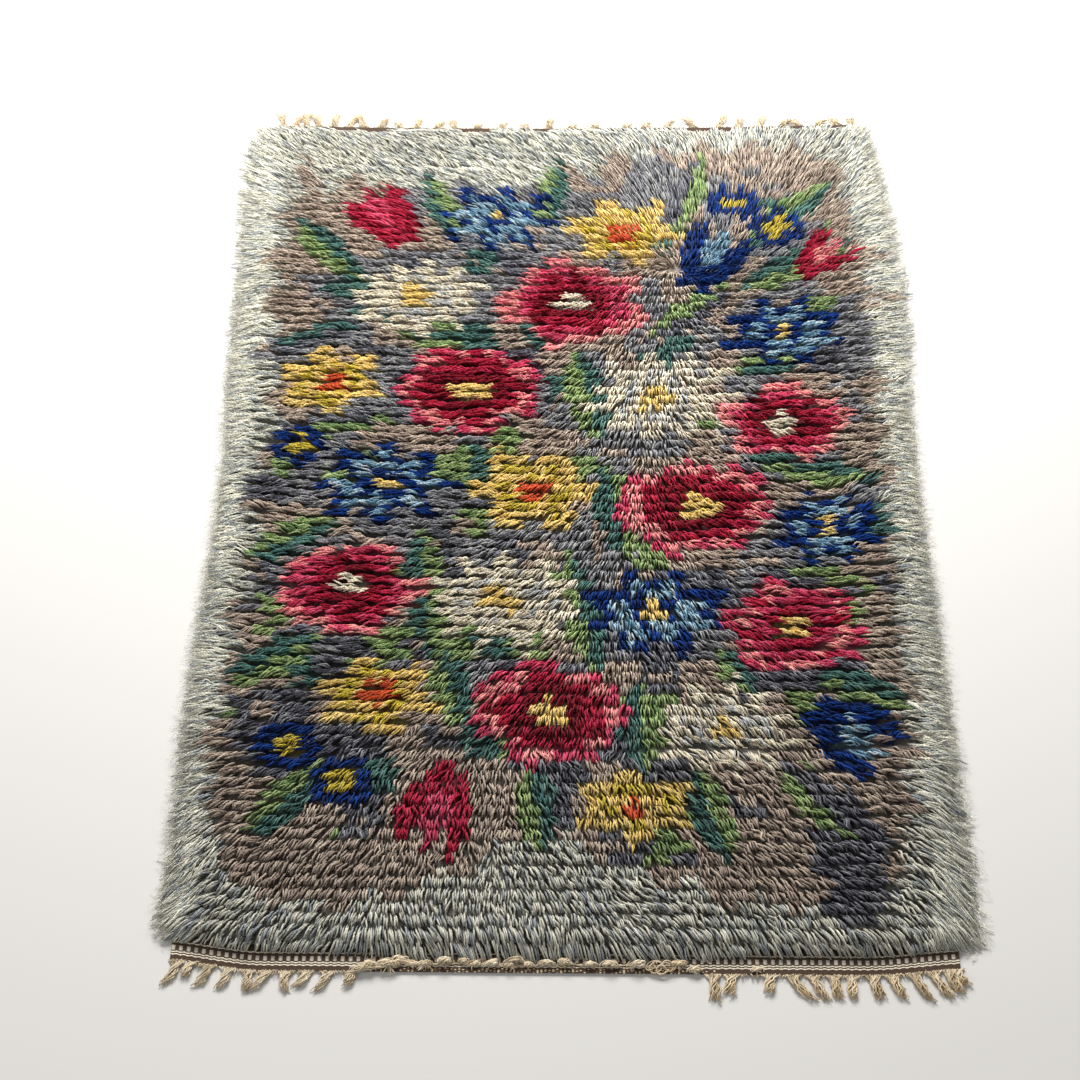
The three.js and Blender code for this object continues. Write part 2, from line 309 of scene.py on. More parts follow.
# %% Streaks in the taupe
STREAKS = [
    # x and y of the middle, width, height
    (-330, 200, 170, 80), (-350, -20, 140, 44), (-330, -330, 150, 60), (-170, 480, 180, 60),
    (140, 500, 90, 130), (330, 200, 170, 150), (350, -160, 130, 40), (330, -520, 80, 150),
    (110, -500, 150, 60), (-310, 330, 130, 44),
]
ASH_BEYOND = 150
ragged = patches(36, 15, 6)
for x, y, wide, tall in STREAKS:
    close = np.hypot((knot_x - x) / (wide / 2), (knot_y - y) / (tall / 2)) < 0.75 + 0.5 * ragged
    paint(close, "charcoal" if y < ASH_BEYOND else "ash")
print(len(STREAKS), "streaks")


# %% [markdown]
# The flowers are ordinary garden kinds, drawn as a weaver charts them: a round with a scalloped or
# pointed rim, filled in rings of colour from the outside in, with a seam between two petals. The
# layout is this rug's own, a loose all-over spray.

# %% How each kind of flower is charted
KINDS = {
    # how many petals, how deep and how sharp the cuts between them are, the yarn along those cuts, and
    # rings of yarn, each with its outer radius as a share of the flower's
    "poppy": {
        "petals": 5, "cut": 0.24, "power": 3.0, "seam": "wine",
        "rings": [(1.0, "salmon"), (0.82, "rose"), (0.62, "crimson"), (0.42, "wine"), (0.22, "cream")],
    },
    "peony": {
        "petals": 7, "cut": 0.2, "power": 2.0, "seam": "wine",
        "rings": [(1.0, "rose"), (0.88, "salmon"), (0.71, "crimson"), (0.5, "wine"), (0.27, "gold")],
    },
    "aster": {
        "petals": 11, "cut": 0.42, "power": 1.0, "seam": "silver",
        "rings": [(1.0, "cream"), (0.5, "silver"), (0.38, "cream"), (0.27, "gold")],
    },
    "rose": {
        "petals": 6, "cut": 0.16, "power": 2.0, "seam": "crimson",
        "rings": [(1.0, "rose"), (0.84, "salmon"), (0.66, "rose"), (0.42, "crimson"), (0.22, "gold")],
    },
    "star": {
        "petals": 6, "cut": 0.4, "power": 1.2, "seam": "olive",
        "rings": [(1.0, "gold"), (0.62, "olive"), (0.44, "gold"), (0.3, "rust")],
    },
    "cornflower": {
        "petals": 8, "cut": 0.44, "power": 1.0, "seam": "royal",
        "rings": [(1.0, "royal"), (0.75, "sky"), (0.36, "royal"), (0.18, "gold")],
    },
    "speedwell": {
        "petals": 4, "cut": 0.22, "power": 2.0, "seam": "royal",
        "rings": [(1.0, "royal"), (0.5, "olive")],
    },
}
print(len(KINDS), "kinds of flower")

# %% Where the flowers are
FLOWERS = [
    # kind, x and y of its middle, width, height, turn in degrees
    ("cornflower", -92, 450, 182, 126, 12),
    ("star", 88, 424, 168, 122, 20),
    ("speedwell", 246, 474, 84, 64, 0),
    ("speedwell", 304, 428, 84, 64, 30),
    ("aster", -206, 306, 208, 152, 0),
    ("poppy", 14, 298, 206, 148, 10),
    ("cornflower", 300, 246, 186, 132, 0),
    ("star", -318, 158, 154, 122, 10),
    ("peony", -124, 146, 214, 156, 0),
    ("aster", 128, 138, 222, 162, 16),
    ("poppy", 288, 92, 176, 132, 50),
    ("speedwell", -352, 52, 80, 66, 40),
    ("cornflower", -234, -10, 200, 142, 22),
    ("star", -36, -16, 184, 138, 30),
    ("peony", 166, -40, 208, 150, 18),
    ("cornflower", 334, -76, 158, 122, 0),
    ("poppy", -268, -168, 192, 138, 30),
    ("aster", -70, -186, 214, 156, 8),
    ("cornflower", 112, -196, 190, 138, 0),
    ("rose", 282, -222, 182, 132, 12),
    ("star", -226, -318, 160, 118, 14),
    ("peony", -16, -336, 198, 136, 20),
    ("aster", 190, -356, 196, 140, 0),
    ("speedwell", -330, -384, 84, 66, 20),
    ("speedwell", -262, -428, 84, 66, 0),
    ("star", 82, -458, 150, 100, 0),
]
BELLS = [
    # x and y of the stalk's end, length, width, heading in degrees, outer yarn, inner yarn
    (-226, 404, 126, 96, 122, "crimson", "rose"),
    (176, 330, 118, 92, 58, "royal", "sky"),
    (-130, -406, 118, 92, 252, "crimson", "rose"),
    (296, -330, 116, 92, -38, "royal", "sky"),
    (330, 352, 88, 70, 40, "crimson", "salmon"),
]
print(len(FLOWERS), "flowers and", len(BELLS), "bells")

# %% Charting a flower, and a bell
SEAM_FROM = 0.82
SEAM_INNER = 0.5
SEAM_OUTER = 0.9
BELL_POINTS = 3


def flower(kind, x, y, wide, tall, turn):
    """A round with cuts in its rim. wave is 0 in the middle of a petal and 1 on a seam."""
    shape = KINDS[kind]
    side = (knot_x - x) / (wide / 2)
    rise = (knot_y - y) / (tall / 2)
    radius = np.hypot(side, rise)
    bearing = np.arctan2(rise, side) - math.radians(turn)
    wave = np.abs(2 * ((bearing * shape["petals"] / (2 * np.pi)) % 1) - 1)
    rim = 1 - shape["cut"] * wave ** shape["power"]
    uneven = soft_noise(knot_x, knot_y, 70, int(abs(x) + abs(y)))
    for share, yarn in shape["rings"]:
        paint(radius * (1 + (0.06 + 0.22 * (1 - share)) * uneven) < rim * share, yarn)
    paint((wave > SEAM_FROM) & (radius > SEAM_INNER) & (radius < SEAM_OUTER * rim), shape["seam"])


def bell(x, y, length, wide, heading, outer, inner):
    """A flower from the side, narrow at its stalk, with three points at its mouth."""
    angle = math.radians(heading)
    along = ((knot_x - x) * math.cos(angle) + (knot_y - y) * math.sin(angle)) / length
    aside = (-(knot_x - x) * math.sin(angle) + (knot_y - y) * math.cos(angle)) / (wide / 2)
    belly = 0.42 + 0.58 * np.sin(np.clip(along, 0, 1) * 2.2)
    points = 1 - 0.3 * np.abs(2 * ((aside * BELL_POINTS / 2 + 0.5) % 1) - 1)
    inside = (along > 0) & (along < points) & (np.abs(aside) < belly)
    paint(inside, outer)
    paint(inside & (np.abs(aside) < 0.34) & (along > 0.34), inner)


# %% [markdown]
# Leaves go under the flowers and reach out from them to the border. Each is a lens between two
# points, of one yarn on one side of its midrib and another on the other side.

# %% Leaves
LEAVES = [
    # from x and y, to x and y, width, yarn on one side, yarn on the other
    (-150, 400, -196, 536, 44, "teal", "leaf"),
    (-20, 430, 0, 560, 42, "leaf", "teal"),
    (150, 400, 206, 566, 50, "charcoal", "leaf"),
    (250, 390, 392, 520, 50, "leaf", "teal"),
    (240, 320, 404, 404, 46, "teal", "leaf"),
    (-290, 340, -392, 452, 52, "leaf", "teal"),
    (-270, 262, -410, 214, 44, "charcoal", "teal"),
    (110, 236, 232, 330, 46, "leaf", "charcoal"),
    (-96, 214, -230, 244, 40, "leaf", "teal"),
    (20, 220, 50, 60, 56, "teal", "leaf"),
    (216, 176, 330, 200, 40, "leaf", "teal"),
    (-214, 100, -386, 70, 40, "leaf", "charcoal"),
    (-120, 60, -120, -20, 60, "teal", "leaf"),
    (236, 34, 410, -12, 44, "teal", "leaf"),
    (60, 30, 80, -120, 54, "leaf", "teal"),
    (-290, -64, -408, -128, 46, "teal", "leaf"),
    (-180, -80, -160, -260, 58, "leaf", "teal"),
    (250, -130, 400, -180, 40, "leaf", "charcoal"),
    (10, -110, 40, -290, 52, "teal", "leaf"),
    (190, -250, 220, -310, 54, "teal", "leaf"),
    (-300, -240, -410, -300, 52, "leaf", "teal"),
    (-150, -250, -120, -360, 50, "teal", "leaf"),
    (90, -290, 96, -420, 50, "leaf", "teal"),
    (-40, -400, -30, -520, 48, "teal", "leaf"),
    (150, -410, 190, -524, 50, "leaf", "teal"),
    (300, -290, 420, -330, 50, "teal", "leaf"),
    (-300, -420, -366, -500, 48, "teal", "leaf"),
    (250, -400, 340, -500, 48, "charcoal", "leaf"),
]


def leaf(x0, y0, x1, y1, wide, one_side, other_side):
    length = math.hypot(x1 - x0, y1 - y0)
    way_x, way_y = (x1 - x0) / length, (y1 - y0) / length
    share = ((knot_x - x0) * way_x + (knot_y - y0) * way_y) / length
    aside = -(knot_x - x0) * way_y + (knot_y - y0) * way_x
    half = wide / 2 * np.sin(np.pi * np.clip(share, 0, 1)) ** 0.8
    inside = (share > 0) & (share < 1) & (np.abs(aside) < half)
    paint(inside & (aside >= 0), one_side)
    paint(inside & (aside < 0), other_side)


print(len(LEAVES), "leaves")

# %% [markdown]
# The space round the flowers is filled in patches of charcoal or grey, a third or so of taupe, and a
# few of each green. The further from the near end, the more of the dark patches are grey.

# %% Painting the chart
TAUPE_BELOW = 0.31
ASH_BELOW = 0.78
TEAL_ABOVE = 0.84
LEAF_ABOVE = 0.9
ASH_SPREAD = 640


def near_flowers(margin):
    """Which knots are on a flower or within a margin of one."""
    close = np.zeros_like(chart, bool)
    for _, x, y, wide, tall, _ in FLOWERS:
        close |= np.hypot((knot_x - x) / (wide / 2 + margin), (knot_y - y) / (tall / 2 + margin)) < 1
    return close


between = taupe_field & near_flowers(10 + 34 * patches(40, 15, 8))
filling = patches(44, 44, 9)
paint(between, "charcoal")
paint(between & (filling < ASH_BELOW) & (knot_y > ASH_BEYOND - ASH_SPREAD * filling), "ash")
paint(between & (filling > TEAL_ABOVE), "teal")
paint(between & (filling > LEAF_ABOVE), "leaf")
paint(between & (filling < TAUPE_BELOW), "taupe")
for row in LEAVES:
    leaf(*row)
for row in FLOWERS:
    flower(*row)
for row in BELLS:
    bell(*row)
print({name: int((chart == i).sum()) for i, name in enumerate(YARN_NAMES)})

# %% [markdown]
# ## The lie of the pile
# Long pile never stands straight. It has been walked on, shaken and rolled, so it lies over in slow
# swirls, outwards round the rim and sideways in the middle, where each row makes its own ridge. The
# table gives the way that the pile lies at some places, and how flat, from 0 for upright to 1. In
# between it is blended by distance.

# %% The way the pile lies
LIE = [
    # x, y, degrees from +X, how flat
    (-440, 610, 132, 1.0), (-220, 610, 140, 1.0), (30, 600, 134, 1.0), (190, 600, 112, 1.0),
    (310, 590, 76, 1.0), (440, 610, 48, 1.0),
    (-440, 440, 166, 1.0), (-250, 440, 160, 1.0), (-40, 450, 146, 1.0), (110, 470, 112, 0.9),
    (240, 470, 70, 0.9), (430, 440, 34, 1.0),
    (-440, 300, 190, 1.0), (-250, 270, 174, 1.0), (-40, 280, 178, 0.9), (120, 300, 262, 0.8),
    (290, 290, 8, 0.9), (430, 270, 22, 1.0),
    (-440, 120, 174, 1.0), (-250, 100, 174, 1.0), (-50, 110, 192, 0.9), (90, 110, 262, 0.8),
    (240, 110, -24, 0.9), (430, 90, 14, 1.0),
    (-440, -80, 188, 1.0), (-250, -80, 180, 1.0), (-60, -80, 200, 0.8), (80, -80, 266, 0.7),
    (230, -80, -14, 0.9), (430, -80, 8, 1.0),
    (-440, -260, 178, 1.0), (-250, -250, 190, 0.9), (-60, -260, 214, 0.8), (90, -260, 276, 0.7),
    (240, -250, -20, 0.9), (430, -260, -2, 1.0),
    (-440, -420, 196, 1.0), (-260, -430, 222, 0.9), (-60, -430, 256, 0.9), (120, -430, 292, 0.9),
    (280, -430, 318, 0.9), (430, -400, -18, 1.0),
    (-440, -520, 214, 1.0), (-290, -520, 240, 0.9), (-160, -530, 284, 0.9), (0, -530, 302, 0.9),
    (160, -530, 304, 0.9), (320, -520, 312, 0.9), (440, -500, 328, 1.0),
    (-440, -620, 236, 1.0), (-280, -630, 254, 0.9), (-180, -630, 272, 0.9), (-60, -630, 292, 0.9),
    (160, -630, 298, 0.9), (320, -630, 303, 0.9), (440, -620, 313, 1.0),
]
LIE_BLEND_MM = 80.0


def lie_at(x, y):
    sum_x = np.zeros_like(x)
    sum_y = np.zeros_like(x)
    sum_weight = np.zeros_like(x)
    for place_x, place_y, degrees, flat in LIE:
        weight = np.exp(-((x - place_x) ** 2 + (y - place_y) ** 2) / (2 * LIE_BLEND_MM ** 2)) + 1e-9
        sum_x += weight * flat * math.cos(math.radians(degrees))
        sum_y += weight * flat * math.sin(math.radians(degrees))
        sum_weight += weight
    return sum_x / sum_weight, sum_y / sum_weight


print("the lie is given at", len(LIE), "places")

# %% [markdown]
# A rug that has lain folded keeps a parting: a line where the pile falls away to both sides and a
# shadow shows between. The strongest one crosses this rug near its near end, and there are fainter
# ones between other rows.

# %% Partings across the pile
PARTINGS = [
    # y, from x, to x, how deep, how wide to each side
    (-383, -150, 470, 0.75, 10), (-392, -320, -190, 0.45, 9), (-168, -420, -120, 0.35, 8),
    (-96, -100, 230, 0.3, 8), (-560, -330, 40, 0.5, 6), (-530, -60, 300, 0.4, 6),
    (-590, -120, 330, 0.45, 6), (-500, -420, -160, 0.35, 6), (-470, 120, 400, 0.3, 6),
    (60, -430, -200, 0.3, 6), (-250, 200, 440, 0.35, 7),
]


def parting_at(x, y):
    """How deep the nearest parting is, and which side of it a knot is on."""
    depth = np.zeros_like(x)
    side = np.zeros_like(x)
    for place, start, end, deep, wide in PARTINGS:
        middle = place + 3 * soft_noise(x, 0 * x, 260, 5)
        along = smooth_step(start - 40, start + 20, x) * (1 - smooth_step(end - 20, end + 40, x))
        strength = deep * along * np.exp(-((y - middle) / wide) ** 2)
        side = np.where(strength > depth, np.sign(y - middle), side)
        depth = np.maximum(depth, strength)
    return depth, side


print(len(PARTINGS), "partings")

# %% [markdown]
# ## Building yarn
# A yarn end is a thin tube that is closed at its root and cut square at its tip. There are thousands,
# so they are never separate objects: numpy works out every point at once, and one function turns any
# number of such tubes into one mesh. Round each path it sets rings of points. Each ring is carried on
# from the last one with the least turn, so that a bent tube keeps an even wall.


# %% Rings of points round many paths
def unit(vectors):
    return vectors / np.linalg.norm(vectors, axis=-1, keepdims=True)


def tube_points(paths, radii, angle):
    way = unit(np.gradient(paths, axis=1))
    across = np.zeros_like(way)
    carried = unit(np.cross(way[:, 0] + (1e-3, 0, 0), (0, 0, 1)))
    for ring in range(paths.shape[1]):
        carried = unit(carried - (carried * way[:, ring]).sum(axis=1, keepdims=True) * way[:, ring])
        across[:, ring] = carried
    up = np.cross(across, way)
    circle = (
        np.cos(angle)[:, None] * across[:, :, None]
        + np.sin(angle)[:, None] * up[:, :, None]
    )
    return paths[:, :, None] + radii[:, :, None, None] * circle


# %% [markdown]
# A mesh holds a number for each corner of each face, and how many corners each face has. It also
# carries a colour for each point, and its maps. The map called yarn gives the turn round the yarn and
# the length along it in metres, less where the plies have opened and turn more slowly. The other map
# is for a bake: there each end has a square of its own, with its wall above and its two caps below.


# %% A mesh from arrays
def new_piece(name, points, face_corners, face_sizes, colours, maps):
    mesh = bpy.data.meshes.new(name)
    mesh.vertices.add(len(points))
    mesh.vertices.foreach_set("co", (points * MM + MIDDLE).ravel())
    mesh.loops.add(len(face_corners))
    mesh.loops.foreach_set("vertex_index", face_corners)
    mesh.polygons.add(len(face_sizes))
    mesh.polygons.foreach_set("loop_start", np.concatenate([[0], np.cumsum(face_sizes)[:-1]]))
    mesh.polygons.foreach_set("use_smooth", np.ones(len(face_sizes), bool))
    mesh.update(calc_edges=True)
    for map_name, values in maps.items():
        mesh.uv_layers.new(name=map_name).data.foreach_set("uv", values.ravel())
    with_alpha = np.concatenate([colours, np.ones((len(colours), 1))], axis=1)
    mesh.color_attributes.new("yarn_colour", "FLOAT_COLOR", "POINT").data.foreach_set(
        "color", with_alpha.ravel()
    )
    piece = bpy.data.objects.new(name, mesh)
    bpy.context.scene.collection.objects.link(piece)
    print(f"{name}: {int((face_sizes - 2).sum())} triangles")
    return piece


# %% The two maps of yarn
def yarn_map(paths, twist, wall_ring, wall_side, sides):
    ends = len(paths)
    steps = np.linalg.norm(np.diff(paths, axis=1), axis=2)
    length = np.concatenate([np.zeros((ends, 1)), np.cumsum(steps, axis=1)], axis=1)
    length *= np.broadcast_to(twist, ends)[:, None]
    cap_turn = np.tile(np.arange(sides) / sides, (ends, 1))
    tip_length = np.repeat(length[:, -1:], sides, axis=1) * MM
    return np.concatenate([
        np.stack([np.tile(wall_side / sides, (ends, 1)), length[:, wall_ring] * MM], axis=-1).reshape(-1, 2),
        np.stack([cap_turn, np.zeros((ends, sides))], axis=-1).reshape(-1, 2),
        np.stack([cap_turn[:, ::-1], tip_length], axis=-1).reshape(-1, 2),
    ])


def square_map(ends, wall_share, wall_turn, angle):
    grid = math.ceil(math.sqrt(ends))
    square = np.stack([np.arange(ends) % grid, np.arange(ends) // grid], axis=-1)

    def in_square(u, v):
        inner = np.stack([0.06 + 0.88 * u, 0.04 + 0.92 * v], axis=-1)
        return ((square[:, None] + inner) / grid).reshape(-1, 2)

    return np.concatenate([
        in_square(wall_turn, 0.16 + 0.84 * wall_share),
        in_square(0.25 + 0.2 * np.cos(angle), 0.07 + 0.06 * np.sin(angle)),
        in_square(0.75 + 0.2 * np.cos(angle[::-1]), 0.07 + 0.06 * np.sin(angle[::-1])),
    ])


# %% One mesh from many yarn ends
def yarn_mesh(name, paths, radii, sides, tints, twist=1.0):
    """paths has (ends, rings, 3) in millimetres, radii (ends, rings) and tints (ends, rings, 3)."""
    ends, rings = radii.shape
    angle = 2 * np.pi * np.arange(sides) / sides + np.pi / 2
    points = tube_points(paths, radii, angle).reshape(-1, 3)
    ring, side = [part.ravel() for part in np.mgrid[0:rings - 1, 0:sides]]
    wall_ring = np.stack([ring, ring + 1, ring + 1, ring], axis=-1).ravel()
    wall_side = np.stack([side, side, side + 1, side + 1], axis=-1).ravel()
    wall = wall_ring * sides + wall_side % sides
    root_cap = np.arange(sides)
    tip_cap = (rings - 1) * sides + root_cap[::-1]
    first = np.arange(ends)[:, None] * rings * sides
    face_corners = np.concatenate([(first + part).ravel() for part in (wall, root_cap, tip_cap)])
    face_sizes = np.concatenate([np.full(ends * len(ring), 4), np.full(2 * ends, sides)])
    colours = np.repeat(tints, sides, axis=1).reshape(-1, 3)
    maps = {
        "yarn": yarn_map(paths, twist, wall_ring, wall_side, sides),
        "OFBake": square_map(ends, wall_ring / (rings - 1), wall_side / sides, angle),
    }
    return new_piece(name, points, face_corners, face_sizes, colours, maps)


# %% [markdown]
# ## Wool and cotton
# Rya wool is a worsted two-ply: long smooth fibres, two strands twisted together. To the eye it has
# a soft sheen where the strands curve away, and slanting grooves where the plies meet, about every
# 5 mm. The colour comes from the mesh's own attribute, which also carries the painted light and shade
# of the pile. The grooves come from the yarn map: they are darkened in the colour as painted shade,
# and raised as a bump.


# %% A material for plied yarn
def fibre_flecks(tree, fibre_mm, detail, darkest, palest):
    """Noise as coarse as the fibres bundle, and the shade that it gives."""
    spot = add_node(tree, "ShaderNodeTexCoord")
    fibres = add_node(
        tree, "ShaderNodeTexNoise", Vector=spot.outputs["Object"], Scale=1 / (fibre_mm * MM), Detail=detail
    )
    fleck = add_node(
        tree, "ShaderNodeMapRange", Value=fibres, From_Min=0.3, From_Max=0.7, To_Min=darkest, To_Max=palest
    )
    return fibres, fleck


def yarn_material(name, ply_turn_mm, groove_depth_and_painted_shade, roughness, sheen, fibre_mm):
    material, tree = new_material(name)
    colour = add_node(tree, "ShaderNodeVertexColor", {"layer_name": "yarn_colour"})
    place = add_node(tree, "ShaderNodeUVMap", {"uv_map": "yarn"})
    split = add_node(tree, "ShaderNodeSeparateXYZ", Vector=place)
    turns = add_node(
        tree, "ShaderNodeMath", {"operation": "MULTIPLY"}, _0=split.outputs["Y"], _1=1 / (ply_turn_mm * MM)
    )
    twist = add_node(tree, "ShaderNodeMath", {"operation": "ADD"}, _0=split.outputs["X"], _1=turns)
    angle = add_node(tree, "ShaderNodeMath", {"operation": "MULTIPLY"}, _0=twist, _1=4 * math.pi)
    wave = add_node(tree, "ShaderNodeMath", {"operation": "SINE"}, _0=angle)
    # the ply grooves are darkened in the colour as painted shade, and the same values raise the bump
    ply = add_node(
        tree, "ShaderNodeMapRange", Value=wave, From_Min=-1.0, From_Max=0.3, To_Min=groove_depth_and_painted_shade, To_Max=1.0
    )
    _, fleck = fibre_flecks(tree, fibre_mm, 2.0, 0.86, 1.1)
    shade = add_node(tree, "ShaderNodeMath", {"operation": "MULTIPLY"}, _0=ply, _1=fleck)
    tinted = add_node(tree, "ShaderNodeVectorMath", {"operation": "SCALE"}, _0=colour, Scale=shade)
    bump = add_node(tree, "ShaderNodeBump", Height=ply, Strength=0.6, Distance=0.5 * MM)
    shader = add_node(
        tree, "ShaderNodeBsdfPrincipled", Base_Color=tinted, Normal=bump,
        Roughness=roughness, Sheen_Weight=sheen, Sheen_Roughness=0.4, IOR=1.5, Specular_IOR_Level=0.2
    )
    add_node(tree, "ShaderNodeOutputMaterial", Surface=shader)
    return material


worsted_wool = yarn_material(
    "two_ply_worsted_wool", ply_turn_mm=9.0, groove_depth_and_painted_shade=0.62, roughness=0.75, sheen=0.03, fibre_mm=1.6
)
cotton_warp = yarn_material(
    "plied_cotton_warp", ply_turn_mm=4.0, groove_depth_and_painted_shade=0.6, roughness=0.8, sheen=0.1, fibre_mm=0.8
)
print("yarn materials made")

# %% [markdown]
# ## The pile
# Deep in a rya the pile is packed, and only the last 20 mm or so of each end is free. So the pile is
# built as two things: a thick body, which swells into a ridge over each row of knots, and four or six
# free ends to a knot. The height of both comes from one rule, so that an end always leaves the body at
# the right height.

# %% How high the pile stands
RISE = 15.5
PARTING_DROP = 0.35
BODY_SHARE = 0.56
BODY_EDGE = 20.0


def rise_at(x, y):
    lie_x, lie_y = lie_at(x, y)
    flat = np.clip(np.hypot(lie_x, lie_y), 0.4, 1)
    depth, _ = parting_at(x, y)
    waves = 2.0 * soft_noise(x, y, 110, 31) + 1.2 * soft_noise(x, y, 40, 32)
    return RISE * (1.2 - 0.2 * flat) * (1 - PARTING_DROP * depth) + waves


def body_top(x, y):
    inside = np.minimum(GROUND_WIDTH / 2 - np.abs(x), np.minimum(y - near_inner(x), far_inner(x) - y))
    return CLOTH_THICK + BODY_SHARE * rise_at(x, y) * (0.3 + 0.7 * smooth_step(0, BODY_EDGE, inside))


print("height in the middle:", (CLOTH_THICK + rise_at(np.zeros(1), np.zeros(1))).round(1), "mm")

# %% [markdown]
# The body is a grid with a line of points along the top of each row's ridge and one in the valley
# between two rows. A ring of walls and one flat face below close it. It takes each knot's colour,
# darkened as painted shade, because little light comes down there: most towards the near end and
# least at the far end.

# %% The body of the pile
VALLEY = 2.6
BODY_LOWEST = CLOTH_THICK + 1.5
BODY_LIFT = 0.3
# y, and how far each knot's colour is darkened there, as painted shade
BODY_PAINTED_SHADE = [(-660, 0.17), (0, 0.17), (250, 0.32), (450, 0.62), (660, 0.85)]

lines_x = np.concatenate([[0], (np.arange(COLUMNS) + 0.5) / COLUMNS, [1]])
lines_y = np.linspace(0, 1, 2 * ROWS + 1)
share_y, share_x = np.meshgrid(lines_y, lines_x, indexing="ij")
body_x = (share_x - 0.5) * (GROUND_WIDTH - 2)
body_y = near_inner(body_x) + 1 + share_y * (far_inner(body_x) - near_inner(body_x) - 2)
valley = np.arange(2 * ROWS + 1)[:, None] % 2 == 0
body_z = np.maximum(body_top(body_x, body_y) - VALLEY * valley, BODY_LOWEST)
lines_deep, lines_wide = body_x.shape
top_points = np.stack([body_x, body_y, body_z], axis=-1).reshape(-1, 3)

number = np.arange(lines_deep * lines_wide).reshape(lines_deep, lines_wide)
top_faces = np.stack([number[:-1, :-1], number[:-1, 1:], number[1:, 1:], number[1:, :-1]], axis=-1)
rim_loop = np.concatenate([number[0, :-1], number[:-1, -1], number[-1, :0:-1], number[:0:-1, 0]])
low_loop = number.size + np.arange(len(rim_loop))
walls = np.stack([rim_loop, low_loop, np.roll(low_loop, -1), np.roll(rim_loop, -1)], axis=-1)
low_points = top_points[rim_loop].copy()
low_points[:, 2] = CLOTH_THICK + BODY_LIFT

main_shade = np.array([linear(YARNS[name][0][0]) for name in YARN_NAMES])
body_row = np.clip(np.arange(lines_deep) // 2, 0, ROWS - 1)
body_column = np.clip(np.arange(lines_wide) - 1, 0, COLUMNS - 1)
# each knot's colour, darkened by the painted shade
body_colour_painted_shade = main_shade[chart[body_row][:, body_column]] * read_table(BODY_PAINTED_SHADE, body_y)[..., None]
body_colour_painted_shade = body_colour_painted_shade.reshape(-1, 3)
body_colour_painted_shade = np.concatenate([body_colour_painted_shade, body_colour_painted_shade[rim_loop]])
body_faces = np.concatenate([top_faces.ravel(), walls.ravel(), low_loop[::-1]])
body_sizes = np.concatenate([
    np.full(top_faces.shape[0] * top_faces.shape[1] + len(walls), 4), [len(low_loop)],
])
print("the body has", len(top_points), "points on top")

# %% [markdown]
# Wool packed this deep shows only as a dull, fibrous mass, so its finish is rough and uneven, with
# fibres about 2 mm across where they bundle.

# %% A material for packed wool
PACKED_FIBRE = 2.0

packed_wool, packed_tree = new_material("packed_pile_wool")
packed_colour = add_node(packed_tree, "ShaderNodeVertexColor", {"layer_name": "yarn_colour"})
packed_noise, packed_depth = fibre_flecks(packed_tree, PACKED_FIBRE, 3.0, 0.5, 1.3)
packed_tint = add_node(
    packed_tree, "ShaderNodeVectorMath", {"operation": "SCALE"}, _0=packed_colour, Scale=packed_depth
)
packed_bump = add_node(
    packed_tree, "ShaderNodeBump", Height=packed_noise, Strength=0.8, Distance=1.5 * MM
)
packed_shader = add_node(
    packed_tree, "ShaderNodeBsdfPrincipled", Base_Color=packed_tint, Normal=packed_bump, Roughness=0.9
)
add_node(packed_tree, "ShaderNodeOutputMaterial", Surface=packed_shader)
print("packed wool made")

# %% Put the body in place
def fit(piece, material, node):
    """Give a piece its finish, put it under the root, and hide the solid of the frame that it stands for."""
    piece.data.materials.append(material)
    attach(piece, "root")
    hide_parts(node)


pile_body = new_piece(
    "pile_body", np.concatenate([top_points, low_points]), body_faces, body_sizes, body_colour_painted_shade, {}
)
fit(pile_body, packed_wool, "pile")
pile_pieces = [pile_body]

# %% [markdown]
# Every free end leaves the body, bends over the way the pile lies there, and comes to rest on its
# neighbours, a little higher or lower than they do. Ends of one knot keep together. Along the
# selvedges nothing holds them up, so they hang over to the floor, finer and further out than inside.
# The photo shows how far: from about 20 mm along the middle to 50 mm and more near the corners. At
# the far end the pile covers the heading, but for a few short places where the weave shows.

# %% How far the pile hangs out
LEFT_OVERHANG = [
    # y, how far the pile reaches beyond the selvedge
    (-650, 5), (-630, 17), (-580, 36), (-500, 29), (-294, 27), (-62, 17), (50, 20), (152, 30), (300, 38),
    (437, 47), (500, 60), (566, 66), (650, 64),
]
RIGHT_OVERHANG = [
    (-650, 8), (-614, 36), (-578, 54), (-461, 40), (-340, 32), (-10, 26), (95, 29), (258, 50), (501, 50),
    (570, 38), (650, 28),
]
NEAR_OVERHANG = [
    # x, how far the pile hangs over the heading
    (-440, 6), (-380, 7), (-300, 9), (-240, 12), (-170, 16), (0, 18), (120, 17), (180, 12), (240, 9),
    (400, 9), (440, 6),
]
FAR_OVERHANG = 13.0
BARE_AT_FAR = [
    # x of the middle, half as long as it is, how far the pile stops short
    (-331, 15, 1), (-281, 17, 1), (-131, 21, 2), (-28, 10, 0), (205, 12, 1), (245, 4, -2), (350, 5, -2),
    (411, 3, -2),
]
BARE_FADE = 9.0
RIM_WIDTH = 60.0
RIM_HUNG = 45.0
RIM_LONGEST = 67.0
RIM_SHORTEST = 14.0


def far_overhang(x):
    bare = np.zeros_like(x)
    for middle, half, short in BARE_AT_FAR:
        beside = smooth_step(half, half + BARE_FADE, np.abs(x - middle))
        bare = np.maximum(bare, (FAR_OVERHANG + short) * (1 - beside))
    return FAR_OVERHANG - bare


def rim_at(x):
    """From 0 inside to 1 at the selvedge."""
    return 1 - smooth_step(0, RIM_WIDTH, GROUND_WIDTH / 2 - np.abs(x))


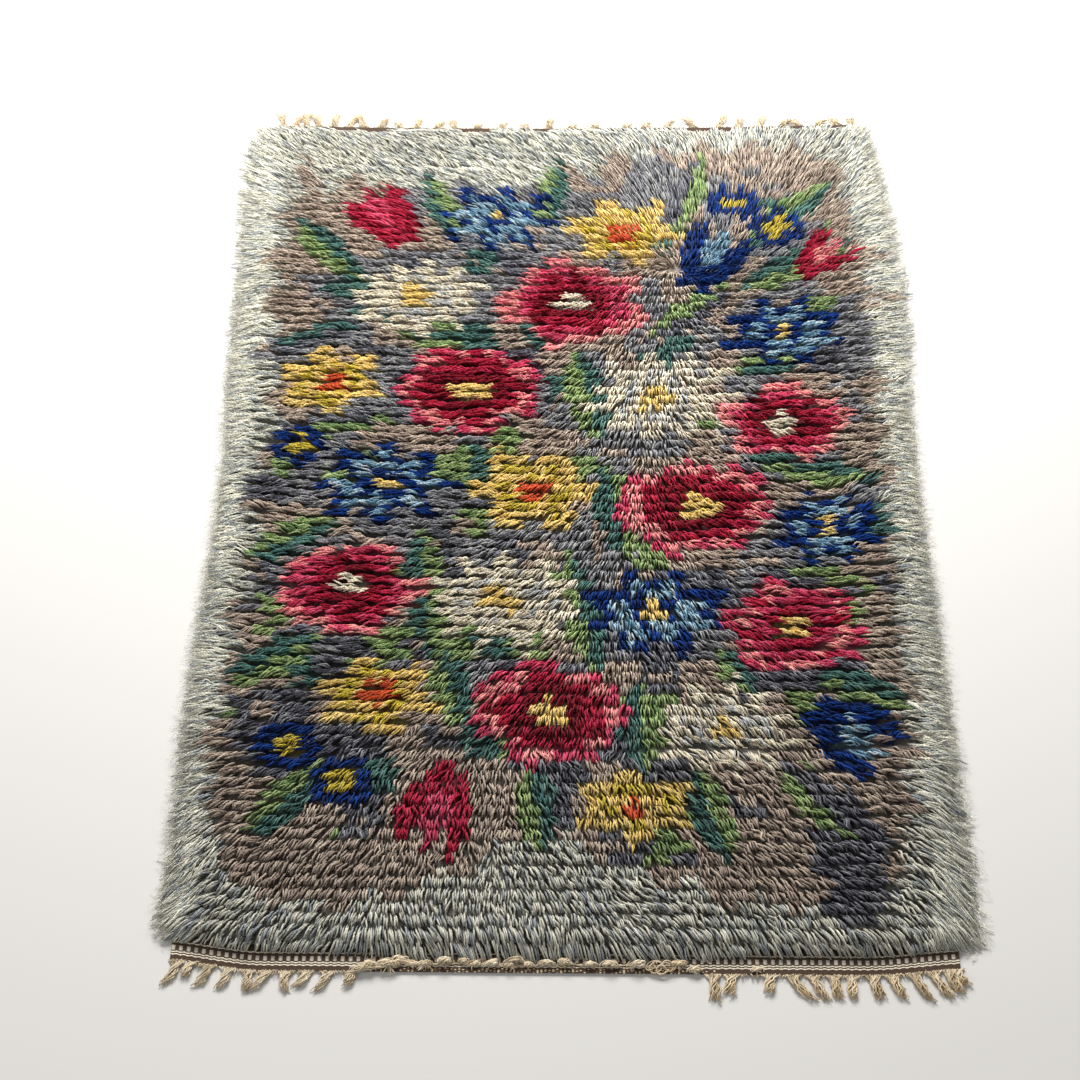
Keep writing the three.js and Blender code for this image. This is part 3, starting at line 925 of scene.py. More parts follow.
def rim_reach(x, y):
    inside = GROUND_WIDTH / 2 - np.abs(x)
    overhang = np.where(x < 0, read_table(LEFT_OVERHANG, y), read_table(RIGHT_OVERHANG, y))
    return np.clip(inside + overhang * (1 - inside / RIM_HUNG), RIM_SHORTEST, RIM_LONGEST)


print("reach of the selvedges half way:", rim_reach(np.array([-450.0, 450.0]), np.zeros(2)).round(1))

# %% [markdown]
# One function lays any number of ends. Each follows a short course: a share of its reach, a share of
# its rise and a share of its curl at each of a few points. Wool clings, so the ends of one or two
# knots make a lock: they lie the same way and their tips draw together, more so where a row lies
# along itself. Ends that would run too far over a heading are drawn back and lie lower. Whatever
# passes an edge falls towards what lies below.

# %% Laying yarn ends
LOCK_GATHER = [(-660, 0.6), (-395, 0.5), (-375, 0.32), (150, 0.22), (450, 0.1), (660, 0.08)]
# how far past an edge an end starts to fall, and where it is down
SELVEDGE_FALL = (-22, 46)
NEAR_FALL = (-12, 16)
FAR_FALL = (-14, 12)
END_DROOP = 0.7
RESTING = 1.6


def lock_mean(values, lock):
    """The mean of the values in each lock, given back for every end."""
    return (np.bincount(lock, values) / np.maximum(np.bincount(lock), 1))[lock]


def lay(x, y, z, heading, reach, rise, curl, course, droop, lock):
    """The paths of ends from their roots. droop is how much of its height one loses beyond a selvedge."""
    out_share, up_share, curl_share = np.array(course).T
    step_x = np.cos(heading)
    step_y = np.sin(heading)
    room_near = y - near_inner(x) + read_table(NEAR_OVERHANG, x) * random.uniform(0.75, 1.1, x.size)
    room_far = far_inner(x) - y + far_overhang(x) + random.normal(0, 2.0, x.size)
    room = np.where(step_y < 0, room_near, room_far) / np.maximum(np.abs(step_y), 0.05)
    drawn_back = np.clip(room / reach, 0.15, 1)
    reach = reach * drawn_back
    rise = rise * (0.5 + 0.5 * drawn_back)
    aside = (y - lock_mean(y, lock)) * step_x - (x - lock_mean(x, lock)) * step_y
    gather = read_table(LOCK_GATHER, y) * (1 - 0.65 * np.abs(step_y))
    curl = curl[:, None] * curl_share - (gather * aside)[:, None] * out_share ** 1.5
    path_x = x[:, None] + reach[:, None] * out_share * step_x[:, None] - curl * step_y[:, None]
    path_y = y[:, None] + reach[:, None] * out_share * step_y[:, None] + curl * step_x[:, None]
    path_z = z[:, None] + rise[:, None] * up_share
    beyond = np.abs(path_x) - GROUND_WIDTH / 2
    path_z *= 1 - droop * smooth_step(*SELVEDGE_FALL, beyond)
    over_near = near_inner(path_x) - path_y
    over_far = path_y - far_inner(path_x)
    path_z *= 1 - END_DROOP * np.maximum(
        smooth_step(*NEAR_FALL, over_near), smooth_step(*FAR_FALL, over_far)
    )
    lowest = np.where(beyond > -2, 0, CLOTH_THICK) + RESTING
    return np.stack([path_x, path_y, np.maximum(path_z, lowest)], axis=-1)


# %% [markdown]
# The first rows, at the near end, are the ones that are looked at most closely: their ends are thick,
# four to a knot, and bend twice. Beyond the crease the pile has opened. There are six ends to a knot
# there, thinner and straighter, so each needs one point less. The ends are built in bands of rows,
# the first with one course and the others with another.

# %% Where every free end is
BANDS = 5
ROW_HALF = 4.6
LOCK_KNOTS = 1.5
NEAR_COURSE = [
    # share of the reach, share of the rise, share of the curl
    (0.00, 0.00, 0.0),
    (0.34, 0.86, -0.7),
    (0.70, 1.00, 0.8),
    (1.00, 0.72, -0.2),
]
OPEN_COURSE = [(0.00, 0.00, 0.0), (0.46, 1.00, 0.6), (1.00, 0.76, -0.4)]
PILE_SEED = 11

random = np.random.default_rng(PILE_SEED)
band_of_row = np.arange(ROWS) * BANDS // ROWS
ends_of_knot = np.where(band_of_row == 0, 4, 6)[row_number].ravel()
end_row = np.repeat(row_number.ravel(), ends_of_knot)
end_column = np.repeat(column_number.ravel(), ends_of_knot)
end_yarn = np.repeat(chart.ravel(), ends_of_knot)
neighbours = np.repeat(ends_of_knot, ends_of_knot)
end_number = np.arange(end_row.size) - np.repeat(np.cumsum(ends_of_knot) - ends_of_knot, ends_of_knot)
end_lock = np.floor((end_column + random.uniform(0, 2, ROWS)[end_row]) / LOCK_KNOTS).astype(int)
end_lock += COLUMNS * end_row
place_in_knot = (end_number - (neighbours - 1) / 2) * KNOT_PITCH / neighbours
row_side = random.uniform(-1, 1, end_row.size)
root_x = np.repeat(knot_x.ravel(), ends_of_knot) + place_in_knot + random.normal(0, 0.5, end_row.size)
root_y = np.repeat(knot_y.ravel(), ends_of_knot) + ROW_HALF * row_side
print("pile ends:", end_row.size)

# %% Which way every free end lies, and how far it reaches
REACH_FROM_NEAR = [
    # how far in from the heading, how much reach that adds
    (0, 30), (14, 28), (28, 18), (150, 18), (220, 20), (700, 20),
]
REACH_FROM_FAR = [(0, 8), (60, 8), (160, 7), (240, 0), (700, 0)]
SUNK = 1.6
PARTING_PUSH = 0.45
LEAST_RISE = 3.0

lie_x, lie_y = lie_at(root_x, root_y)
depth, parting_side = parting_at(root_x, root_y)
lie_y = lie_y + PARTING_PUSH * depth * parting_side
flat = np.clip(np.hypot(lie_x, lie_y), 0.4, 1)
heading = np.arctan2(lie_y, lie_x)
from_near = root_y - near_inner(root_x)
from_far = far_inner(root_x) - root_y
combed = 1 - 0.6 * smooth_step(650, 300, from_far)
heading += combed * (0.2 * soft_noise(root_x, root_y, 120, 21) + 0.15 * soft_noise(root_x, root_y, 38, 22))
scatter = 0.35 + 0.65 * smooth_step(20, 150, from_near) * combed
heading += scatter * random.normal(0, 0.12, COLUMNS * ROWS)[end_lock]
heading += scatter * random.normal(0, 0.08, heading.size)

rim = rim_at(root_x)
reach = read_table(REACH_FROM_NEAR, from_near) + read_table(REACH_FROM_FAR, from_far)
reach = reach * (1 - rim) + rim_reach(root_x, root_y) * rim
reach *= (0.5 + 0.5 * flat) * random.uniform(0.82, 1.12, reach.size)
root_z = body_top(root_x, root_y) - SUNK
tip_z = CLOTH_THICK + rise_at(root_x, root_y) - 2.2 * row_side ** 2 + random.normal(0, 1.5, reach.size)
rise = np.maximum(tip_z - root_z, LEAST_RISE)
curl = scatter * random.normal(0, 1.1, COLUMNS * ROWS)[end_lock] + random.normal(0, 0.6, reach.size)
print("mean reach of an end:", reach.mean().round(1), "mm")

# %% [markdown]
# An end narrows a little at the cut. Its colour is darkened at its root as painted shade, where no light
# comes, and in the near rows it is a little paler at its tip as a painted highlight. A dye lot changes
# from one row to the next, and each end is a shade of its own. The ends are painted darker towards the
# near end and paler in the middle, and paler along the rim, as painted light and shade. Towards the far
# end the ends are finer and evener, and their plies have opened, so that they hardly turn.

# %% Thickness and colour of every free end
YARN_RADIUS = 1.68
END_SIDES = 3
# share of the length, and the thickness there, or the painted shade and highlight there
END_SHAPE = [(0, 0.9), (0.34, 1.03), (0.7, 0.98), (1, 0.66)]
END_PAINTED_SHADING_NEAR = [(0, 0.34), (0.34, 0.9), (0.7, 1.05), (1, 1.06)]
END_PAINTED_SHADING_FAR = [(0, 0.75), (0.34, 0.97), (0.7, 0.98), (1, 0.96)]
# y, and how thick the ends are there, how much paler or darker painted light and shade make them, and how
# uneven they are
FINER = [(-660, 1.0), (-395, 0.95), (-375, 0.86), (100, 0.8), (660, 0.7)]
PAINTED_SHADING_ALONG = [(-660, -0.25), (-450, -0.18), (-250, 0.04), (0, 0.13), (300, 0.13), (450, 0.07), (660, -0.03)]
UNEVEN = [(-660, 0.13), (150, 0.14), (450, 0.07), (660, 0.06)]
# the rim is painted paler, as painted light
RIM_PAINTED_LIGHT = 0.22
RIM_FINER = 0.35


def draw_shades(yarn_numbers):
    """One shade of its yarn for each end."""
    drawn = np.zeros((len(yarn_numbers), 3))
    for number, name in enumerate(YARN_NAMES):
        mine = np.flatnonzero(yarn_numbers == number)
        colours = np.array([linear(shade) for shade, _ in YARNS[name]])
        weights = np.array([weight for _, weight in YARNS[name]])
        drawn[mine] = colours[random.choice(len(colours), mine.size, p=weights / weights.sum())]
    return drawn


thickness = random.uniform(0.82, 1.14, root_x.size) * (1 - RIM_FINER * rim) * read_table(FINER, root_y)
# painted light and shade along the rug and at the rim, with random dye lots and slow waves
dye_lots_and_painted_shading = read_table(PAINTED_SHADING_ALONG, root_y) + RIM_PAINTED_LIGHT * rim + 0.05 * soft_noise(root_x, root_y, 150, 41)
dye_lots_and_painted_shading += 0.04 * random.normal(0, 1, ROWS)[end_row]
uneven = random.normal(0, 1, root_x.size) * read_table(UNEVEN, root_y)
shades = draw_shades(end_yarn) * np.exp(uneven + dye_lots_and_painted_shading)[:, None]
opened = smooth_step(0, 450, root_y)
print("mean radius of an end:", round(YARN_RADIUS * thickness.mean(), 2), "mm")

# %% The free ends, in bands of rows
for band in range(BANDS):
    mine = band_of_row[end_row] == band
    course = NEAR_COURSE if band == 0 else OPEN_COURSE
    out_share = np.array(course)[:, 0]
    paths = lay(
        root_x[mine], root_y[mine], root_z[mine], heading[mine], reach[mine], rise[mine], curl[mine],
        course, droop=0.8, lock=end_lock[mine]
    )
    open_share = opened[mine][:, None]
    # painted shade at the root and painted highlight at the tip, blended from the near rows to the far
    shade = read_table(END_PAINTED_SHADING_NEAR, out_share) * (1 - open_share)
    shade = shade + read_table(END_PAINTED_SHADING_FAR, out_share) * open_share
    tints = shades[mine][:, None] * shade[..., None]
    radii = YARN_RADIUS * read_table(END_SHAPE, out_share) * thickness[mine][:, None]
    twist = 1 - 0.7 * opened[mine]
    pile_pieces.append(yarn_mesh(f"pile_band_{band + 1}", paths, radii, END_SIDES, tints, twist))

# %% [markdown]
# Along the selvedges the ends have opened into finer plies, and single fibres stand out of them as a
# pale fuzz that blurs the rug's outline. Both are laid by the same function, with less yarn in each.
# Both are painted paler than the border yarn as painted light, and a ply is also darkened at its root
# as painted shade and lightened towards its tip as a painted highlight.

# %% Opened plies and fuzz along the selvedges
PLIES_PER_ROW = 20
PLY_RADIUS = 1.05
PLY_SHAPE = np.array([1.0, 1.0, 0.8, 0.45])
# painted shade at the root of a ply and painted highlight towards its tip
PLY_PAINTED_SHADING = np.array([0.7, 1.0, 1.05, 1.1])
PLY_COURSE = [(0.00, 0.00, 0.0), (0.36, 0.9, -0.8), (0.72, 0.9, 0.8), (1.00, 0.45, -0.5)]
FUZZ_PER_ROW = 18
FUZZ_RADIUS = 0.28
FUZZ_SHAPE = np.array([1.0, 0.9, 0.6])
FUZZ_COURSE = [(0.00, 0.00, 0.0), (0.5, 0.9, -0.5), (1.00, 0.8, 0.9)]
# plies and fuzz are painted paler than the border yarn, as painted light
SELVEDGE_PAINTED_LIGHT = 1.3
border_shade = np.array([linear(YARNS["border"][0][0])])


def selvedge_roots(per_row, side, deepest):
    rows = np.repeat(np.arange(ROWS), per_row)
    lock = 3 * rows + random.integers(0, 3, rows.size)
    x = side * (GROUND_WIDTH / 2 - random.uniform(1, deepest, rows.size))
    y = knot_y[rows, 0 if side < 0 else -1] + random.uniform(-0.5, 0.5, rows.size) * ROW_PITCH
    lie_x, lie_y = lie_at(x, y)
    return x, y, np.arctan2(lie_y, lie_x), lock


for side, side_name in ((-1, "left"), (1, "right")):
    x, y, heading, lock = selvedge_roots(PLIES_PER_ROW, side, 34)
    heading = heading + 0.2 * soft_noise(x, y, 60, 23) + random.normal(0, 0.12, x.size)
    z = body_top(x, y) - 0.5
    ply_paths = lay(
        x, y, z, heading, rim_reach(x, y) * random.uniform(0.8, 1.1, x.size), random.uniform(2, 7, x.size),
        random.normal(0, 1.8, x.size), PLY_COURSE, droop=0.85, lock=lock
    )
    ply_radii = PLY_RADIUS * random.uniform(0.75, 1.2, x.size)[:, None] * PLY_SHAPE
    ply_tints = SELVEDGE_PAINTED_LIGHT * draw_shades(np.zeros(x.size, int))
    ply_tints *= np.exp(random.normal(0, 0.12, x.size))[:, None]
    ply_tints = ply_tints[:, None] * PLY_PAINTED_SHADING[:, None]
    pile_pieces.append(yarn_mesh(f"pile_plies_{side_name}", ply_paths, ply_radii, END_SIDES, ply_tints))

    x, y, heading, lock = selvedge_roots(FUZZ_PER_ROW, side, 6)
    overhang = rim_reach(x, y)
    out = random.uniform(0.35, 0.95, x.size) * overhang
    x = x + np.cos(heading) * out
    y = y + np.sin(heading) * out
    heading = heading + random.normal(0, 0.45, x.size)
    z = random.uniform(3, 13, x.size) * (1 - 0.5 * out / RIM_LONGEST)
    fuzz_paths = lay(
        x, y, z, heading, random.uniform(8, 17, x.size), random.uniform(-2, 5, x.size),
        random.normal(0, 2.2, x.size), FUZZ_COURSE, droop=0.3, lock=lock
    )
    fuzz_radii = FUZZ_RADIUS * random.uniform(0.7, 1.2, x.size)[:, None] * FUZZ_SHAPE
    fuzz_tints = SELVEDGE_PAINTED_LIGHT * border_shade[:, None] * np.ones((x.size, len(FUZZ_SHAPE), 1))
    pile_pieces.append(yarn_mesh(f"pile_fuzz_{side_name}", fuzz_paths, fuzz_radii, END_SIDES, fuzz_tints))

for piece in pile_pieces[1:]:
    fit(piece, worsted_wool, "pile")
print(len(pile_pieces), "pieces of pile")

# %% [markdown]
# ## The woven cloth
# The cloth between the rows of knots, and the heading at each end, is weft-faced plain weave. Hard
# warp yarns lie 4.5 mm apart, one pair to each knot, and the weft is beaten down so that it hides them.
# To the eye it is rows of small ribs along the rug, crossed by weft 1.4 mm thick, which goes over one
# rib a little further in and over the next a little further out. One pale pick so gives a fine wavy
# line, and a pale and a dark pick by turns give bars. The draft is read from the outer edge inwards.

# %% The draft of the near heading
WARP_PITCH = KNOT_PITCH / 2
WARPS = 2 * COLUMNS
WEFT_PITCH = 1.4
PLAIN_DRAFT = [("dark", 20)]
BANDED_DRAFT = [
    ("dark", 4), ("pale", 1), ("dark", 1), ("pale", 1), ("dark", 1), ("bars", 4), ("dark", 2), ("pale", 1),
    ("dark", 5),
]
WEFT_COLOURS = {
    # on the even ribs, on the odd ribs
    "dark": ("#463425", "#463425"),
    "pale": ("#E6DCC8", "#E6DCC8"),
    "bars": ("#C2BAAC", "#463425"),
}
print("the near heading has", sum(picks for _, picks in BANDED_DRAFT), "picks")


def weave_ramp(tree, draft, side, fac):
    ramp = add_node(tree, "ShaderNodeValToRGB", Fac=fac)
    ramp.color_ramp.interpolation = "CONSTANT"
    total = sum(picks for _, picks in draft)
    done = 0
    for number, (kind, picks) in enumerate(draft):
        if number == 0:
            stop = ramp.color_ramp.elements[0]
            stop.position = 0
            ramp.color_ramp.elements.remove(ramp.color_ramp.elements[1])
        else:
            stop = ramp.color_ramp.elements.new(done / total)
        stop.color = (*linear(WEFT_COLOURS[kind][side]), 1)
        done += picks
    return ramp


# %% [markdown]
# The material reads a map called weave, which counts ribs one way and weft picks the other. A sine
# along the ribs makes the picks wavy. Rounding down gives the rib and the pick that a point is on, and
# the rest gives the place across that pick, which makes its bulge. The bulge raises a bump, and its
# edges are darkened in the colour as painted shade. Where the fringe is folded back, the warp has worn
# through the outer picks and shows as pale specks.

# %% Specks of bare warp
SPECK_RIBS = (52, 140)
SPECK_PICKS = 2.5
SPECK_CHANCE = 0.42
SPECK_BULGE = 0.09
SPECK_COLOUR = "#D8C6A0"


def with_specks(tree, split, rib, pick, bulge, colour):
    """Bare warp, on some of the ribs that SPECK_RIBS spans and on the outer picks alone."""
    start, end = SPECK_RIBS
    inside = add_node(
        tree, "ShaderNodeMath", {"operation": "COMPARE"}, _0=split.outputs["X"],
        _1=(start + end) / 2, _2=(end - start) / 2
    )
    outer = add_node(tree, "ShaderNodeMath", {"operation": "LESS_THAN"}, _0=pick, _1=SPECK_PICKS)
    number = add_node(tree, "ShaderNodeCombineXYZ", X=rib, Y=pick)
    chance = add_node(tree, "ShaderNodeTexWhiteNoise", {"noise_dimensions": "2D"}, Vector=number)
    worn = add_node(tree, "ShaderNodeMath", {"operation": "GREATER_THAN"}, _0=chance, _1=1 - SPECK_CHANCE)
    dot = add_node(tree, "ShaderNodeMath", {"operation": "GREATER_THAN"}, _0=bulge, _1=SPECK_BULGE)
    where = add_node(tree, "ShaderNodeMath", {"operation": "MULTIPLY"}, _0=inside, _1=outer)
    what = add_node(tree, "ShaderNodeMath", {"operation": "MULTIPLY"}, _0=worn, _1=dot)
    speck = add_node(tree, "ShaderNodeMath", {"operation": "MULTIPLY"}, _0=where, _1=what)
    specked = add_node(
        tree, "ShaderNodeMix", {"data_type": "RGBA"}, _0=speck, _6=colour, _7=(*linear(SPECK_COLOUR), 1)
    )
    return specked.outputs[2]


# %% A material for weft-faced weave
PICK_WAVE = 0.3
WEFT_FIBRE = 0.9


def weave_material(name, draft, specks):
    material, tree = new_material(name)
    place = add_node(tree, "ShaderNodeUVMap", {"uv_map": "weave"})
    split = add_node(tree, "ShaderNodeSeparateXYZ", Vector=place)
    rib = add_node(tree, "ShaderNodeMath", {"operation": "FLOOR"}, _0=split.outputs["X"])
    odd = add_node(tree, "ShaderNodeMath", {"operation": "FLOORED_MODULO"}, _0=rib, _1=2.0)
    swing = add_node(tree, "ShaderNodeMath", {"operation": "MULTIPLY"}, _0=split.outputs["X"], _1=math.pi)
    sine = add_node(tree, "ShaderNodeMath", {"operation": "SINE"}, _0=swing)
    stepped = add_node(
        tree, "ShaderNodeMath", {"operation": "MULTIPLY_ADD"}, _0=sine, _1=PICK_WAVE,
        _2=split.outputs["Y"]
    )
    pick = add_node(tree, "ShaderNodeMath", {"operation": "FLOOR"}, _0=stepped)
    total = sum(picks for _, picks in draft)
    share = add_node(
        tree, "ShaderNodeMath", {"operation": "MULTIPLY_ADD"}, _0=pick, _1=1 / total, _2=0.5 / total
    )
    even_ribs = weave_ramp(tree, draft, 0, share)
    odd_ribs = weave_ramp(tree, draft, 1, share)
    weft = add_node(tree, "ShaderNodeMix", {"data_type": "RGBA"}, _0=odd, _6=even_ribs, _7=odd_ribs)
    across_pick = add_node(tree, "ShaderNodeMath", {"operation": "PINGPONG"}, _0=stepped, _1=0.5)
    across_rib = add_node(tree, "ShaderNodeMath", {"operation": "PINGPONG"}, _0=split.outputs["X"], _1=0.5)
    bulge = add_node(tree, "ShaderNodeMath", {"operation": "MULTIPLY"}, _0=across_pick, _1=across_rib)
    # painted shade towards the edges of each pick's bulge; the same values are the bump's height
    crest_height_and_painted_shade = add_node(
        tree, "ShaderNodeMapRange", {"interpolation_type": "SMOOTHSTEP"}, Value=bulge,
        From_Min=0.0, From_Max=0.07, To_Min=0.66, To_Max=1.0
    )
    _, fleck = fibre_flecks(tree, WEFT_FIBRE, 3.0, 0.75, 1.2)
    colour = weft.outputs[2]
    if specks:
        colour = with_specks(tree, split, rib, pick, bulge, colour)
    shade = add_node(tree, "ShaderNodeMath", {"operation": "MULTIPLY"}, _0=crest_height_and_painted_shade, _1=fleck)
    tinted = add_node(tree, "ShaderNodeVectorMath", {"operation": "SCALE"}, _0=colour, Scale=shade)
    bump = add_node(tree, "ShaderNodeBump", Height=crest_height_and_painted_shade, Strength=0.7, Distance=0.7 * MM)
    shader = add_node(tree, "ShaderNodeBsdfPrincipled", Base_Color=tinted, Normal=bump, Roughness=0.9)
    add_node(tree, "ShaderNodeOutputMaterial", Surface=shader)
    return material


banded_weave = weave_material("weft_faced_wool_weave_banded", BANDED_DRAFT, True)
plain_weave = weave_material("weft_faced_wool_weave_plain", PLAIN_DRAFT, False)
print("weave materials made")

# %% [markdown]
# Each stretch of cloth starts as a flat grid, which is moved to the real outline in code, because the
# near corners draw in and the far end sags. Solidify gives it its 3 mm. On a heading the ribs are
# modelled, since they show at the edge, with four columns of faces to a rib.

# %% Cutting the cloth
RIB_DEPTH = 0.7


def points_of(mesh):
    points = np.empty(len(mesh.vertices) * 3)
    mesh.vertices.foreach_get("co", points)
    return points.reshape(-1, 3)


def cloth(name, columns, rows, lower, upper, outer_edge, outward, rib_depth):
    bpy.ops.mesh.primitive_grid_add(x_subdivisions=columns, y_subdivisions=rows, size=2)
    piece = bpy.context.active_object
    piece.name = piece.data.name = name
    mesh = piece.data
    mesh.uv_layers.remove(mesh.uv_layers[0])
    share = points_of(mesh)[:, :2] / 2 + 0.5
    x = (share[:, 0] - 0.5) * GROUND_WIDTH
    y = lower(x) + share[:, 1] * (upper(x) - lower(x))
    flat = np.stack([x, y, np.full_like(x, CLOTH_THICK)], axis=1)
    mesh.vertices.foreach_set("co", (flat * MM + MIDDLE).ravel())
    loop_vertex = np.empty(len(mesh.loops), int)
    mesh.loops.foreach_get("vertex_index", loop_vertex)
    weave = np.stack([share[:, 0] * WARPS, outward * (y - outer_edge(x)) / WEFT_PITCH], axis=1)
    mesh.uv_layers.new(name="weave").data.foreach_set("uv", weave[loop_vertex].ravel())
    thicken = piece.modifiers.new("thickness", "SOLIDIFY")
    thicken.thickness = CLOTH_THICK * MM
    thicken.offset = -1
    bpy.ops.object.modifier_apply(modifier=thicken.name)

    corners = points_of(mesh)
    place = (corners[:, 0] - MIDDLE[0]) / MM / WARP_PITCH
    across = 2 * (place - np.floor(place + 1e-6)) - 1
    valley = rib_depth * (1 - np.sqrt(1 - (0.95 * np.clip(across, -1, 1)) ** 2))
    is_top = corners[:, 2] > CLOTH_THICK / 2 * MM
    corners[:, 2] = np.where(is_top, CLOTH_THICK - valley, valley) * MM
    mesh.vertices.foreach_set("co", corners.ravel())
    mesh.update()
    bpy.ops.object.shade_smooth_by_angle(angle=math.radians(50))
    piece.select_set(False)
    print(f"{name}: {len(mesh.polygons)} faces")
    return piece


# %% A map for a long strip of cloth
def bake_map(piece, folds):
    """The strip is folded into rows, with its two sides and its rims apart."""
    mesh = piece.data
    points = (points_of(mesh) - MIDDLE) / MM
    along = points[:, 0] / GROUND_WIDTH + 0.5
    weave = np.empty(len(mesh.loops) * 2)
    mesh.uv_layers["weave"].data.foreach_get("uv", weave)
    pick = weave.reshape(-1, 2)[:, 1]
    deep = (pick - pick.min()) / (pick.max() - pick.min())
    thick = points[:, 2] / CLOTH_THICK
    uv = np.zeros((len(mesh.loops), 2))
    for face in mesh.polygons:
        loops = list(face.loop_indices)
        vertices = list(face.vertices)
        fold = min(int(along[vertices].mean() * folds), folds - 1)
        u = along[vertices] * folds - fold
        v = deep[loops]
        if abs(face.normal.z) > 0.5:
            under = face.normal.z < 0
            place = np.stack([0.02 + 0.96 * u, fold * 2 + under + 0.06 + 0.88 * v], axis=1)
        elif abs(face.normal.y) > 0.5:
            end = v.mean() > 0.5
            place = np.stack([0.02 + 0.96 * u, fold * 2 + 0.01 + end * 0.95 + 0.03 * thick[vertices]], axis=1)
        else:
            end = along[vertices].mean() > 0.5
            place = np.stack([0.002 + 0.98 * end + 0.012 * thick[vertices], fold * 2 + 0.1 + 0.8 * v], axis=1)
        place[:, 1] /= 2 * folds
        uv[loops] = place
    mesh.uv_layers.new(name="OFBake").data.foreach_set("uv", uv.ravel())


# %% The ground and the two headings
BAKE_FOLDS = 8

ground_cloth = cloth(
    "ground_cloth", 24, 32, lambda x: near_inner(x) + SEAM, lambda x: far_inner(x) - SEAM,
    outer_edge=near_edge, outward=1, rib_depth=0.0
)
near_band = cloth(
    "near_heading_cloth", 4 * WARPS, 2, near_edge, near_inner,
    outer_edge=near_edge, outward=1, rib_depth=RIB_DEPTH
)
far_band = cloth(
    "far_heading_cloth", 4 * WARPS, 1, far_inner, far_edge,
    outer_edge=far_edge, outward=-1, rib_depth=RIB_DEPTH
)
fit(ground_cloth, plain_weave, "ground_weave")
fit(near_band, banded_weave, "near_heading")
fit(far_band, plain_weave, "far_heading")
bake_map(near_band, BAKE_FOLDS)
bake_map(far_band, BAKE_FOLDS)

# %% [markdown]
# ## The fringe
# The fringe is the warp itself, cut off the loom and left in small bunches. The ends of a bunch leave
# the heading side by side, draw together into a soft, half twisted body, and thin out to a frayed tail
# on the floor. The photo shows how long each bunch is, and how far it leans, so those are given one by
# one.

# %% Bunches that hang free at the near end
LEFT_BUNCHES = [
    # x of the root, length, lean
    (-441, 30, -14), (-425, 19, -6), (-404, 26, -12), (-382, 25, -9), (-359, 26, -2), (-336, 24, -20),
    (-314, 26, 2), (-292, 20, -13), (-268, 24, -13), (-243, 18, -3),
]
RIGHT_BUNCHES = [
    (170, 32, 1), (191, 25, -4), (236, 22, -3), (258, 30, 24), (282, 30, 15), (305, 28, 5), (327, 29, 0),
    (350, 28, 9), (371, 29, 13), (395, 33, 19), (417, 31, 19), (436, 28, 13), (444, 20, 10),
]
WARP_RADIUS = 0.85
ENDS_PER_BUNCH = 19
BUNCH_STATIONS = np.array([0.0, 0.12, 0.26, 0.4, 0.54, 0.68, 0.82, 1.0])
BUNCH_HALF_WIDTH = 11.0
BUNCH_RADIUS = 3.9
COTTON = [("#DACAAE", 0.5), ("#C0AD8E", 0.28), ("#E9DEC8", 0.22)]
FRINGE_SEED = 5

fringe_random = np.random.default_rng(FRINGE_SEED)
print(len(LEFT_BUNCHES) + len(RIGHT_BUNCHES), "bunches hang free")


# %% A piece of fringe from its paths
def draw_cotton(count, stations, warmth, paler_tone_and_painted_light):
    """A shade for each end, which warmth turns golden towards its tip. Each end is also darkened at its root
    as painted shade and lightened at its tip as painted light, and one factor lifts it all over, partly its
    own paler tone and partly painted light.
    """
    # the whole end is lifted: partly its own paler tone, partly painted light, most at the far end
    colours = paler_tone_and_painted_light * np.array([linear(shade) for shade, _ in COTTON])
    weights = np.array([weight for _, weight in COTTON])
    tint = colours[fringe_random.choice(len(colours), count, p=weights)]
    tint *= np.exp(fringe_random.normal(0, 0.12, count))[:, None]
    share = np.linspace(0, 1, stations)[:, None]
    golden = 1 + warmth * share * np.array([0.08, -0.1, -0.42])
    # painted shade at the root and painted light at the tip
    return tint[:, None] * golden * (0.78 + 0.34 * share)


def fringe_piece(name, node, paths, sides, warmth, radius=WARP_RADIUS, paler_tone_and_painted_light=1.0):
    count, stations = paths.shape[:2]
    shape = np.interp(np.linspace(0, 1, stations), [0, 0.6, 1], [1.0, 1.0, 0.6])
    radii = radius * shape * fringe_random.uniform(0.8, 1.2, (count, 1))
    piece = yarn_mesh(name, paths, radii, sides, draw_cotton(count, stations, warmth, paler_tone_and_painted_light))
    fit(piece, cotton_warp, node)
    return piece


